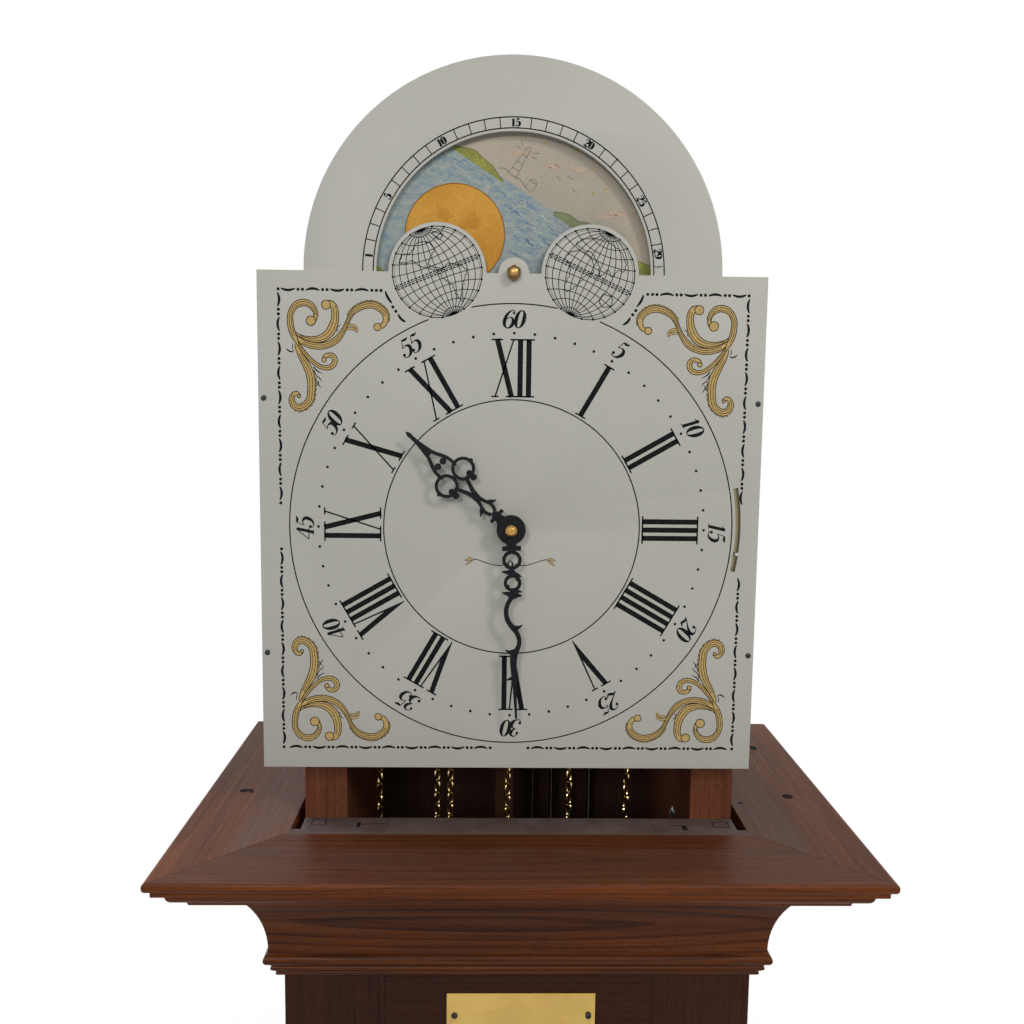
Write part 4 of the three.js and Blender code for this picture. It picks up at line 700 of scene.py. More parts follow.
def steel(name, colour=(0.50, 0.50, 0.50, 1), rough=0.32):
    """Ground steel with fine scratches."""
    material, tree, shader = new_material(name, Metallic=1.0)
    fine = stretched_noise(tree, (1800, 1800, 60), 3.0, 0.6)
    stain = stretched_noise(tree, (60, 60, 60), 4.0, 0.6)
    darker = tuple(c * 0.72 for c in colour[:3]) + (1,)
    tree.links.new(ramp(tree, stain, [(0.35, darker), (0.65, colour)]), shader.inputs["Base Color"])
    rough_by(tree, shader, fine, rough - 0.08, 0.16)
    bump_into(tree, shader, fine, 0.00002, 0.3)
    return material


ground_steel = steel("ground_steel")
for node in ("front_plate", "back_plate"):
    eased(node, "case", "movement_brass", movement_brass, width=0.3)
WHEEL_BODIES = {"great_wheel_strike": "train_strike", "great_wheel_time": "train_time",
                "great_wheel_chime": "train_chime", "centre_arbor": "minute", "hour_wheel": "hour",
                "escape_wheel": "escapement"}
for node, body in WHEEL_BODIES.items():
    eased(node, body, "movement_brass", wheel_brass, width=0.12)
eased("anchor_crutch", "anchor", "steel", ground_steel, width=0.2)
eased("chime_lever", "lever", "steel", ground_steel, width=0.15)
eased("suspension_post", "case", "movement_brass", movement_brass, width=0.2)

# The chains: brass wire links bent to long rings, each turned a quarter from the last. A
# strand hangs from each side of a chain wheel, and the free ones end in a pull ring.
DIAL_X = -7.5
SPROCKET_Y = -9.5
SPROCKET_Z = 1521.0
SPROCKET_R = 18.0
DROP_TOP = 1519.875
DROP_LENGTH = 660.0
FREE_LENGTH = 240.0
LINK_PITCH = 7.5
LINK_HALF_LENGTH = 4.75
LINK_HALF_WIDTH = 2.6
LINK_WIRE = 0.72
FREE_SLACK = 0.3
PULL_RING_R, PULL_RING_WIRE, PULL_RING_RISE = 7.5, 1.0, 8.7
TRAINS = {"strike": (-61.0, -1), "time": (-16.7, 1), "chime": (58.0, 1)}

chain_brass = brass("chain_brass", (0.86, 0.64, 0.30, 1), 0.20, tarnish=0.3)


def link_shape(steps=14, wire_sides=6):
    """One link about its own middle: a wire whose line is a long ring in the X and Z plane,
    x = half width x cosine, z = half length x sine, squared off towards a stadium."""
    turn = np.linspace(0, 2 * np.pi, steps, endpoint=False)
    straight = LINK_HALF_LENGTH - LINK_HALF_WIDTH
    core = LINK_HALF_WIDTH - LINK_WIRE
    line = np.stack([core * np.cos(turn), 0 * turn, core * np.sin(turn)
                     + np.sign(np.sin(turn)) * straight * np.abs(np.sin(turn)) ** 0.35], 1)
    ahead = np.roll(line, -1, 0) - np.roll(line, 1, 0)
    ahead /= np.linalg.norm(ahead, axis=1)[:, None]
    side = np.stack([ahead[:, 2], 0 * turn, -ahead[:, 0]], 1)
    spin = np.linspace(0, 2 * np.pi, wire_sides, endpoint=False)
    rings = (line[:, None] + LINK_WIRE * (np.cos(spin)[None, :, None] * side[:, None]
             + np.sin(spin)[None, :, None] * np.array([0, 1.0, 0])))
    return rings.reshape(-1, 3), grid_faces(steps, wire_sides, wrap_rows=True)


def chain_along(places, ahead, quarter):
    """Links at places, with their long side along ahead and every other one turned by a
    quarter: the link's X, Y and Z are sent to side, depth and ahead, in one product."""
    shape, faces = link_shape()
    depth = np.tile([0.0, 1.0, 0.0], (len(places), 1))
    side = np.cross(depth, ahead)
    angle = np.radians(45 + 90 * (quarter % 2))[:, None]
    across = np.cos(angle) * side + np.sin(angle) * depth
    beside = -np.sin(angle) * side + np.cos(angle) * depth
    axes = np.stack([across, beside, ahead], 1)
    points = places[:, None] + np.einsum("pk,nkc->npc", shape, axes)
    numbers = np.arange(len(places))[:, None, None] * len(shape)
    return points.reshape(-1, 3), (faces[None] + numbers).reshape(-1, 4)


def hanging(x, first_z, length):
    """The places of a hanging strand's links from its first one down, and their direction."""
    count = int(length / LINK_PITCH)
    z = first_z - np.arange(count) * LINK_PITCH
    places = np.stack([np.full(count, x), np.full(count, SPROCKET_Y), z], 1)
    return places, np.tile([0.0, 0.0, -1.0], (count, 1))


def over_sprocket(x, side):
    """The places and directions of the links on a chain wheel's upper half: a half circle
    from the drop strand's side over to the free strand's."""
    count = int(round(math.pi * SPROCKET_R / LINK_PITCH))
    turn = np.pi * (np.arange(count) + 0.5) / count
    places = np.stack([x + side * SPROCKET_R * np.cos(turn), np.full(count, SPROCKET_Y),
                       SPROCKET_Z + SPROCKET_R * np.sin(turn)], 1)
    return places, np.stack([-side * np.sin(turn), 0 * turn, np.cos(turn)], 1)


def wire_ring(radius, wire, middle, steps, faces_front):
    """A ring of round wire: (radius + wire x cosine) x (cosine, sine) of the ring's turn,
    and wire x sine across. It faces the front, or else the side."""
    turn = np.linspace(0, 2 * np.pi, steps, endpoint=False)[:, None]
    around = np.linspace(0, 2 * np.pi, 10, endpoint=False)[None, :]
    out = radius + wire * np.cos(around)
    level, up, across = out * np.cos(turn), out * np.sin(turn), wire * np.sin(around) + 0 * turn
    order = (level, across, up) if faces_front else (across, level, up)
    return np.stack(order, -1).reshape(-1, 3) + middle, grid_faces(steps, 10, wrap_rows=True)


for train, (centre, side) in TRAINS.items():
    x = DIAL_X + centre
    places, ahead = hanging(x + side * SPROCKET_R, DROP_TOP - LINK_HALF_LENGTH, DROP_LENGTH)
    drop = fit_piece(train + "_drop_links", chain_along(places, ahead, np.arange(len(places))),
                     "case", "chain_brass", chain_brass, f"chain_{train}_drop")
    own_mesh(drop)
    free_x = x - side * SPROCKET_R
    over, over_ahead = over_sprocket(x, side)
    places, ahead = hanging(free_x, SPROCKET_Z - FREE_SLACK - LINK_PITCH / 2, FREE_LENGTH)
    places, ahead = np.concatenate([over, places]), np.concatenate([over_ahead, ahead])
    links = chain_along(places, ahead, np.arange(len(places)) + 1)
    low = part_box(f"chain_{train}_free")[0].z / MM
    pull_ring = wire_ring(PULL_RING_R, PULL_RING_WIRE, (free_x, SPROCKET_Y, low + PULL_RING_RISE), 40, False)
    fit_piece(train + "_free_links", joined([links, pull_ring]), "case", "chain_brass", chain_brass,
              f"chain_{train}_free")

# The weights: polished brass tubes filled with lead, with a turned cap at each end and a
# brass hook in the top one.
WEIGHT_LENGTH = 200.0
HOOK_R, HOOK_WIRE, HOOK_DROP = 6.0, 1.25, 7.3
weight_brass = brass("weight_brass", (0.78, 0.57, 0.25, 1), 0.16, "z", tarnish=0.15)
for train in TRAINS:
    low, high = (np.array(corner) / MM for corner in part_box("weight_" + train))
    x = (low[0] + high[0]) / 2
    bottom, top = low[2], low[2] + WEIGHT_LENGTH
    profile = np.concatenate([
        [(0, bottom), (9, bottom), (9.6, bottom + 0.6)],
        curve((12, bottom + 1.2), (20, bottom + 1.4), (22.9, bottom + 5.0), 8),
        [(22.9, bottom + 9.0), (22.2, bottom + 9.6), (22.2, bottom + 10.4), (22.7, bottom + 11)],
        [(22.7, top - 11), (22.2, top - 10.4), (22.2, top - 9.6), (22.9, top - 9.0)],
        curve((22.9, top - 5.0), (21, top - 1.6), (9, top + 1.6), 10),
        [(6.0, top + 2.4), (5.4, top + 4.6), (0, top + 4.9)],
    ])
    shell = turned(profile, (x, SPROCKET_Y, 0), "z", 72)
    hook = wire_ring(HOOK_R, HOOK_WIRE, (x, SPROCKET_Y, high[2] - HOOK_DROP), 32, True)
    fit_piece(train + "_weight_shell", joined([shell, hook]), f"weight_{train}_body", "polished_brass",
              weight_brass, "weight_" + train)

# The pendulum: a dark varnished rod on a steel spring, a brass-faced lens bob that slides
# on it, and a milled rating nut below.
rod_wood = wood("rod_wood", "z", (-60, 30, 900), 41.0, (0.085, 0.042, 0.024, 1), (0.040, 0.018, 0.011, 1),
                shine=0.3, coat=0.3)
eased("pendulum_rod", "pendulum", "rod_wood", rod_wood, width=0.3)
bob_brass = brass("bob_brass", (0.80, 0.58, 0.26, 1), 0.20)
eased("pendulum_bob", "bob", "polished_brass", bob_brass, width=0.2)
eased("rating_nut", "bob_nut", "polished_brass", knob_brass, width=0.3)

# The chimes: four hard rods of browned steel in a cast block on the back board, and the four
# brass hammers that swing against them.
rod_bronze = steel("rod_bronze", (0.11, 0.085, 0.06, 1), 0.38)
eased("chime_rods", "case", "steel", rod_bronze, width=0.3)
for number in range(1, 5):
    eased(f"hammer_{number}", f"hammer_{number}_body", "movement_brass", wheel_brass, width=0.3)

# The dial: a sheet of metal cut to a square with an arch, sprayed silver white, with a moon
# window, a slot for the chime lever and a hole for the hands.
HUB_Z = 1576.25
DIAL_FRONT = -61.75
DIAL_THICK = 1.5
DIAL_HALF = 139.75
ARCH_R = 114.25
WINDOW_R = 74.8
GLOBE_X = 41.7
GLOBE_R = 26.7
HUMP_R = 8.5
DIAL_EDGE = 0.25
HAND_HOLE_R = 5.2
SLOT_IN, SLOT_OUT = 126.7, 129.5
SLOT_START, SLOT_END = -10.8, 10.5

dial_paint, tree, shader = new_material("dial_paint", Specular_IOR_Level=0.3)
mottle = stretched_noise(tree, (14, 14, 14), 4.0, 0.5)
speckle = stretched_noise(tree, (2400, 2400, 2400), 2.0, 0.5)
tone = ramp(tree, mottle, [(0.3, (0.412, 0.407, 0.364, 1)), (0.7, (0.435, 0.430, 0.386, 1))])
grains = ramp(tree, speckle, [(0.36, 0.93), (0.50, 1.0)])
tree.links.new(blend_colours(tree, 1.0, tone, grains, "MULTIPLY"), shader.inputs["Base Color"])
rough_by(tree, shader, speckle, 0.36, 0.2)
bump_into(tree, shader, speckle, 0.00001, 0.3)


def flat_plate(name, outlines, front, thickness, edge, origin_x, origin_z):
    """A plate cut from sheet: closed outlines in the dial's X and Z, the first around and
    the others as holes, filled and given a thickness backwards with a small rounded edge."""
    data = bpy.data.curves.new(name, "CURVE")
    data.dimensions = "2D"
    data.fill_mode = "BOTH"
    data.extrude = (thickness / 2 - edge) * MM
    data.bevel_depth = edge * MM
    data.bevel_resolution = 2
    data.offset = -edge * MM
    for outline in outlines:
        spline = data.splines.new("POLY")
        spline.points.add(len(outline) - 1)
        flat = np.zeros((len(outline), 4))
        flat[:, :2] = np.asarray(outline) * MM
        flat[:, 3] = 1
        spline.points.foreach_set("co", flat.ravel())
        spline.use_cyclic_u = True
    holder = bpy.data.objects.new(name, data)
    scene.collection.objects.link(holder)
    bpy.context.view_layer.update()
    mesh = bpy.data.meshes.new_from_object(holder)
    bpy.data.objects.remove(holder)
    bpy.data.curves.remove(data)
    middle = (front + thickness / 2) * MM
    turn = Matrix.Translation((origin_x * MM, middle, origin_z * MM)) @ Matrix.Rotation(math.pi / 2, 4, "X")
    mesh.transform(turn)
    shape = bmesh.new()
    shape.from_mesh(mesh)
    bmesh.ops.remove_doubles(shape, verts=shape.verts, dist=1e-7)
    bmesh.ops.recalc_face_normals(shape, faces=shape.faces)
    shape.to_mesh(mesh)
    shape.free()
    shade(mesh)
    return mesh


def circle(radius, x=0.0, z=0.0, count=64):
    """Points all round a circle, the last one step short of the first."""
    return arc((x, z), radius, 0, 360 * (1 - 1 / count), count)


dial_outline = np.concatenate([
    [(-DIAL_HALF, -DIAL_HALF), (DIAL_HALF, -DIAL_HALF), (DIAL_HALF, DIAL_HALF)],
    arc((0, DIAL_HALF), ARCH_R, 0, 180, 180), [(-DIAL_HALF, DIAL_HALF)],
])
window_outline = np.concatenate([
    arc((0, DIAL_HALF), WINDOW_R, 0, 180, 140),
    arc((-GLOBE_X, DIAL_HALF), GLOBE_R, 180, 0, 80),
    arc((0, DIAL_HALF), HUMP_R, 180, 0, 32),
    arc((GLOBE_X, DIAL_HALF), GLOBE_R, 180, 0, 80),
])
slot_outline = np.concatenate([arc((0, 0), SLOT_OUT, SLOT_START, SLOT_END, 40),
                               arc((0, 0), SLOT_IN, SLOT_END, SLOT_START, 40)])
dial_outlines = [dial_outline, window_outline, slot_outline, circle(HAND_HOLE_R, count=32)]
dial_mesh = flat_plate("painted_dial", dial_outlines, DIAL_FRONT, DIAL_THICK, DIAL_EDGE, DIAL_X, HUB_Z)
place_mesh("painted_dial", dial_mesh, "case", "dial_paint", dial_paint, "dial_plate")

# The dial feet: four brass posts riveted into the back of the dial and pinned to the plate.
# Four small blacked screws hold the dial's edge.
FOOT_R, FOOT_FRONT, FOOT_BACK = 3.5, DIAL_FRONT + 1.0, -45.1
foot_profile = [(0, FOOT_FRONT), (FOOT_R, FOOT_FRONT), (FOOT_R, FOOT_BACK), (0, FOOT_BACK)]
feet = [turned(foot_profile, (DIAL_X + x, 0, HUB_Z + z), "y", 24) for x in (-60, 60) for z in (-60, 46)]
fit_piece("dial_feet", joined(feet), "case", "movement_brass", wheel_brass)

screw_black = two_toned("screw_black", 1200, 3.0, 0.6,
                        [(0.35, (0.016, 0.016, 0.018, 1)), (0.75, (0.06, 0.06, 0.065, 1))], 0.35, 0.2,
                        Metallic=0.7, Specular_IOR_Level=0.3)
DIAL_SCREW_X = 136.7
DIAL_SCREW_HEIGHTS = (70.5, -72.6)
DIAL_SCREW_R = 1.65
SCREW_ANGLE = math.radians(40)
SLOT_HALF, SLOT_SHARE = 0.16, 0.35


def screw_head(x, front, z, radius, rise, slot_turn):
    """A domed head on a level axis with a slot across it: a low dome, radius x (cosine, sine)
    and rise x sine, in three bands, of which the middle one is cut down to about a third."""
    points, faces = [], []
    bands = ((-1.0, -SLOT_HALF, 1.0), (-SLOT_HALF, SLOT_HALF, SLOT_SHARE), (SLOT_HALF, 1.0, 1.0))
    for band, (low, high, share) in enumerate(bands):
        u, v = np.meshgrid(np.linspace(low, high, 7), np.linspace(-1, 1, 17)[1:-1], indexing="ij")
        v = v * np.sqrt(np.maximum(1 - u ** 2, 0.0))
        height = rise * share * np.sqrt(np.maximum(1.02 - u ** 2 - v ** 2, 0.0))
        top = np.stack([u * radius, -height, v * radius], -1).reshape(-1, 3)
        under = top * (1, 0, 1) + (0, 0.3, 0)
        rows, count = u.shape
        start = 2 * len(top) * band
        points += [top, under]
        grid = grid_faces(rows, count, wrap_columns=False) + start
        faces += [tuple(f) for f in grid] + [tuple(f) for f in grid + len(top)]
        rim = [*range(count), *(count * (i + 1) - 1 for i in range(1, rows)),
               *range(count * rows - 2, count * (rows - 1) - 1, -1),
               *(count * i for i in range(rows - 2, 0, -1))]
        faces += [(start + a, start + b, start + b + len(top), start + a + len(top))
                  for a, b in zip(rim, rim[1:] + rim[:1])]
    points = np.concatenate(points)
    spin = math.radians(slot_turn)
    turned_x = points[:, 0] * math.cos(spin) - points[:, 2] * math.sin(spin)
    turned_z = points[:, 0] * math.sin(spin) + points[:, 2] * math.cos(spin)
    return np.stack([turned_x + x, points[:, 1] + front, turned_z + z], 1), faces


def put_screws(name, heads, slot, material):
    """Several screw heads in the case become one piece."""
    fit_piece(name, joined(heads), "case", slot, material, angle=SCREW_ANGLE)


dial_heads = [screw_head(DIAL_X + side * DIAL_SCREW_X, DIAL_FRONT, HUB_Z + z, DIAL_SCREW_R, 0.8,
                         35 * side + z) for side in (-1, 1) for z in DIAL_SCREW_HEIGHTS]
put_screws("dial_screws", dial_heads, "steel", screw_black)

# The other small screws: two black ones through the brass plate, a row of brass ones through
# the long hinge's leaf, and two rows of plain steel ones that hold the back board.
SMALL_SCREW_R = 1.9
PLATE_FACE = -72.75
PLATE_SCREWS = [(-36.9, 1291.0), (41.1, 1290.9)]
HINGE_SCREW_X, HINGE_FACE = 96.4, -72.0
HINGE_SCREW_HEIGHTS = range(600, 1220, 100)
BACK_SCREW_X, BACK_SCREW_R = 125.75, 3.2
BACK_SCREW_HEIGHTS = np.arange(150.0, 1300.0, 200.0)
plate_heads = [screw_head(x, PLATE_FACE, z, SMALL_SCREW_R, 0.7, 25 + x) for x, z in PLATE_SCREWS]
put_screws("plate_screws", plate_heads, "steel", screw_black)
hinge_heads = [screw_head(HINGE_SCREW_X, HINGE_FACE, z, SMALL_SCREW_R, 0.6, z) for z in HINGE_SCREW_HEIGHTS]
put_screws("hinge_screws", hinge_heads, "polished_brass", hinge_brass)
back_heads = []
for x in (-BACK_SCREW_X, BACK_SCREW_X):
    for z in BACK_SCREW_HEIGHTS:
        points, faces = screw_head(x, -CASE_BACK, z, BACK_SCREW_R, 0.6, x + z)
        back_heads.append((points * (1, -1, 1), faces))
put_screws("back_screws", back_heads, "steel", ground_steel)

# A bright round-headed screw stands in the right cheek's inner face. Its head is turned from
# the front to the left.
CHEEK_SCREW = np.array([101.75, 2.4, 1383.5])
points, faces = screw_head(0, 0, 0, radius=3.6, rise=2.2, slot_turn=20)
points = np.stack([points[:, 1], -points[:, 0], points[:, 2]], 1) + CHEEK_SCREW
put_screws("cheek_screw", [(points, faces)], "steel", ground_steel)

# The lever's shutter: a curved strip of sheet carried by the lever's pin, close behind the
# dial, so that the slot shows metal and no dust gets in wherever the lever stands.
SHUTTER_FRONT = DIAL_FRONT + 3.0
SHUTTER_IN, SHUTTER_OUT = 124.0, 132.4
SHUTTER_START, SHUTTER_END = -28, 16
shutter_outline = np.concatenate([arc((0, 0), SHUTTER_OUT, SHUTTER_START, SHUTTER_END, 40),
                                  arc((0, 0), SHUTTER_IN, SHUTTER_END, SHUTTER_START, 40)])
shutter_mesh = flat_plate("lever_shutter", [shutter_outline], SHUTTER_FRONT, 0.8, 0.1, DIAL_X, HUB_Z)
shutter_metal = brass("shutter_metal", (0.30, 0.27, 0.17, 1), 0.44, "z", tarnish=0.5)
place_mesh("lever_shutter", shutter_mesh, "lever", "movement_brass", shutter_metal)

# The printing: black ink laid on the paint in thin, sharp-edged strokes. It is drawn in the
# dial's own X and Z, with the hub at the middle.
INK_BACK = DIAL_FRONT + 0.03
INK_FRONT = DIAL_FRONT - 0.035
PRINT_ANGLE = math.radians(30)


def ink(name, thin, thick):
    """Printing ink: matt, and a little thinner here and there."""
    return two_toned(name, 500, 3.0, 0.5, [(0.3, thick), (0.8, thin)], 0.5, 0.2, Specular_IOR_Level=0.04)


ink_black = ink("ink_black", (0.016, 0.016, 0.018, 1), (0.004, 0.004, 0.005, 1))


def spaced(points, count):
    """A smooth line through points, whose further columns, such as a width, ride along:
    each span is a cubic with the slope of its neighbours, (next - last) / 2."""
    points = np.asarray(points, float)
    ends = np.concatenate([[2 * points[0] - points[1]], points, [2 * points[-1] - points[-2]]])
    t = np.linspace(0, len(points) - 1 - 1e-9, count)
    span = t.astype(int)
    u = (t - span)[:, None]
    p0, p1, p2, p3 = (ends[span + k] for k in range(4))
    return 0.5 * (2 * p1 + (p2 - p0) * u + (2 * p0 - 5 * p1 + 4 * p2 - p3) * u ** 2
                  + (3 * p1 - p0 - 3 * p2 + p3) * u ** 3)


def stroke(line, front=INK_FRONT, back=INK_BACK, closed=False):
    """A flat closed strip along a line of [x, z, half width]: each point is moved both ways
    along the line's normal by its half width, at the front and at the back."""
    line = np.asarray(line, float)
    if closed:
        ahead = np.roll(line, -1, 0)[:, :2] - np.roll(line, 1, 0)[:, :2]
    else:
        ahead = np.gradient(line[:, :2], axis=0)
    ahead /= np.maximum(np.linalg.norm(ahead, axis=1), 1e-9)[:, None]
    side = np.stack([-ahead[:, 1], ahead[:, 0]], 1) * line[:, 2:3]
    left, rightward = line[:, :2] + side, line[:, :2] - side
    corners = np.stack([np.insert(left, 1, front, 1), np.insert(rightward, 1, front, 1),
                        np.insert(rightward, 1, back, 1), np.insert(left, 1, back, 1)], 1)
    faces = [tuple(f) for f in grid_faces(len(line), 4, wrap_rows=closed)]
    if not closed:
        last = 4 * (len(line) - 1)
        faces += [(0, 1, 2, 3), (last, last + 3, last + 2, last + 1)]
    return corners.reshape(-1, 3), faces


def even(line, half):
    """A line of [x, z] with the same half width all along."""
    return np.insert(np.asarray(line, float), 2, half, 1)


def bar(first, last, half):
    """A straight stroke of even width."""
    return stroke(even([first, last], half))


def ring_line(radius, half, x=0.0, z=0.0, count=180):
    """A stroke of even width all round a circle."""
    return stroke(even(circle(radius, x, z, count), half), closed=True)


def arc_line(radius, half, start, end, count=80):
    """A stroke of even width along a circle's arc about the hub."""
    return stroke(even(arc((0, 0), radius, start, end, count), half))


def flat_mark(outline, front=INK_FRONT, back=INK_BACK):
    """A flat mark of any outline, with a face in front and behind."""
    outline = np.asarray(outline, float)
    return between(np.insert(outline, 1, front, 1), np.insert(outline, 1, back, 1))


def dot(x, z, radius, sides=14, front=INK_FRONT, back=INK_BACK):
    """A round spot."""
    return flat_mark(circle(radius, x, z, sides), front, back)


def on_ring(part, radius, degrees):
    """Moves a mark drawn about its own middle out along a radius, head outwards. The angle
    runs clockwise from twelve: x' = x cos + (z + r) sin, z' = (z + r) cos - x sin."""
    points, faces = part
    angle = math.radians(degrees)
    points = points.copy()
    x, z = points[:, 0].copy(), points[:, 2] + radius
    points[:, 0] = x * math.cos(angle) + z * math.sin(angle)
    points[:, 2] = z * math.cos(angle) - x * math.sin(angle)
    return points, faces


def print_ink(name, parts, material, shift=(0.0, 0.0)):
    """Marks in the dial's X and Z become one piece on the dial's face."""
    points, faces = joined(parts)
    points = points + np.array([DIAL_X + shift[0], 0, HUB_Z + shift[1]])
    fit_piece(name, (points, faces), "case", "dial_paint", material, angle=PRINT_ANGLE)


# The printer laid the hour ring and the border a little to the right of the hub and below it.
PRINT_SHIFT = (0.65, -0.5)
OUTER_RING = 124.0
RING_OVERLAP = 1.2
INNER_RING = 71.7
HAIRLINE = 0.34
MINUTE_DOT_RADIUS = 108.0
MINUTE_DOT = 0.80


def ring_outside_globes():
    """The outer ring in spans that leave out both globes: the angles at which a point of
    the ring is farther from each globe's middle than the globe's radius, less an overlap."""
    angles = np.linspace(0, 360, 1441)
    x, z = OUTER_RING * np.sin(np.radians(angles)), OUTER_RING * np.cos(np.radians(angles))
    nearest = np.minimum(np.hypot(x - GLOBE_X, z - DIAL_HALF), np.hypot(x + GLOBE_X, z - DIAL_HALF))
    clear = nearest > GLOBE_R - RING_OVERLAP
    edges = np.flatnonzero(np.diff(clear.astype(int)))
    spans = []
    for first, last in zip([0, *(edges + 1)], [*edges, len(angles) - 1]):
        if clear[first] and last > first:
            picked = slice(first, last + 1, 2)
            spans.append(stroke(np.stack([x[picked], z[picked], np.full(len(x[picked]), HAIRLINE)], 1)))
    return spans


print_ink("chapter_rings", [ring_line(INNER_RING, HAIRLINE), *ring_outside_globes()], ink_black, PRINT_SHIFT)
minutes = [on_ring(dot(0, 0, MINUTE_DOT), MINUTE_DOT_RADIUS, 6 * i) for i in range(60)]
print_ink("minute_dots", minutes, ink_black, PRINT_SHIFT)

# The hour numerals: tall Roman letters with heavy stems, hair strokes and flat serifs, all
# with their feet to the hub.
STEM = 1.45
HAIR = 0.42
NUMERAL_LOW, NUMERAL_HIGH = 73.0, 104.9
NUMERAL_MIDDLE = (NUMERAL_LOW + NUMERAL_HIGH) / 2
NUMERAL_HALF = (NUMERAL_HIGH - NUMERAL_LOW) / 2
LETTER_WIDTH = {"I": 4.7, "V": 8.8, "X": 12.7}
X_STEM_LEAN, X_HAIR_LEAN = 4.1, 5.1
V_HALF, V_FOOT = 3.6, 1.1
THICK_SERIF, THIN_SERIF = 3.2, 2.0


def serif(x, z, half=THICK_SERIF):
    """A flat hair stroke across the end of a stem."""
    return bar((x - half, z), (x + half, z), HAIR)


def v_outline(x, h):
    """A V: its outer edges run to one point at the foot, its inner edges meet above it."""
    left, foot, right = x - V_HALF - STEM, x + V_FOOT, x + V_HALF + HAIR
    share = (2 * STEM + 2 * HAIR) / (right - left)
    inner_x = left + 2 * STEM + (foot - left) * (1 - share)
    return [(left, h), (left + 2 * STEM, h), (inner_x, -h + 2 * h * share), (right - 2 * HAIR, h), (right, h),
            (foot + 0.2, -h), (foot - 0.2, -h)]


def letter(kind, x):
    """The parts of one letter whose middle is at x."""
    h = NUMERAL_HALF
    if kind == "I":
        return [bar((x, -h), (x, h), STEM), serif(x, h - HAIR), serif(x, HAIR - h)]
    if kind == "V":
        return [flat_mark(v_outline(x, h)), serif(x - V_HALF, h - HAIR),
                serif(x + V_HALF, h - HAIR, THIN_SERIF)]
    stem, hair = X_STEM_LEAN, X_HAIR_LEAN
    return [bar((x - stem, h), (x + stem, -h), STEM), bar((x + hair, h), (x - hair, -h), HAIR),
            serif(x - stem, h - HAIR), serif(x + hair, h - HAIR, THIN_SERIF),
            serif(x - hair, HAIR - h, THIN_SERIF), serif(x + stem, HAIR - h)]


# Each numeral and how far it stands from the middle of its place, along the ring.
HOURS = [("XII", -0.5), ("I", 0.5), ("II", 0.1), ("III", 0.2), ("IIII", -0.1), ("V", 0.5), ("VI", -1.1),
         ("VII", -0.4), ("VIII", -0.3), ("IX", 1.4), ("X", -0.3), ("XI", 0.7)]
numerals = []
for hour, (text, x) in enumerate(HOURS):
    x -= sum(LETTER_WIDTH[c] for c in text) / 2
    for kind in text:
        x += LETTER_WIDTH[kind] / 2
        numerals += [on_ring(part, NUMERAL_MIDDLE, 30 * hour) for part in letter(kind, x)]
        x += LETTER_WIDTH[kind] / 2
print_ink("hour_numerals", numerals, ink_black, PRINT_SHIFT)

# The five-minute figures slant, and those of the moon's age stand upright: both have swelling
# curves and round ends. Each is drawn one unit high, as strokes of [x, height, half width].
FIGURE_SLANT = 0.22
PEN_POINTS = 26
PEN_THINNEST = 0.012
PEN_RISE = 0.002


def ball(x, z, radius):
    """The round end of a pen stroke."""
    return ("ball", x, z, radius)


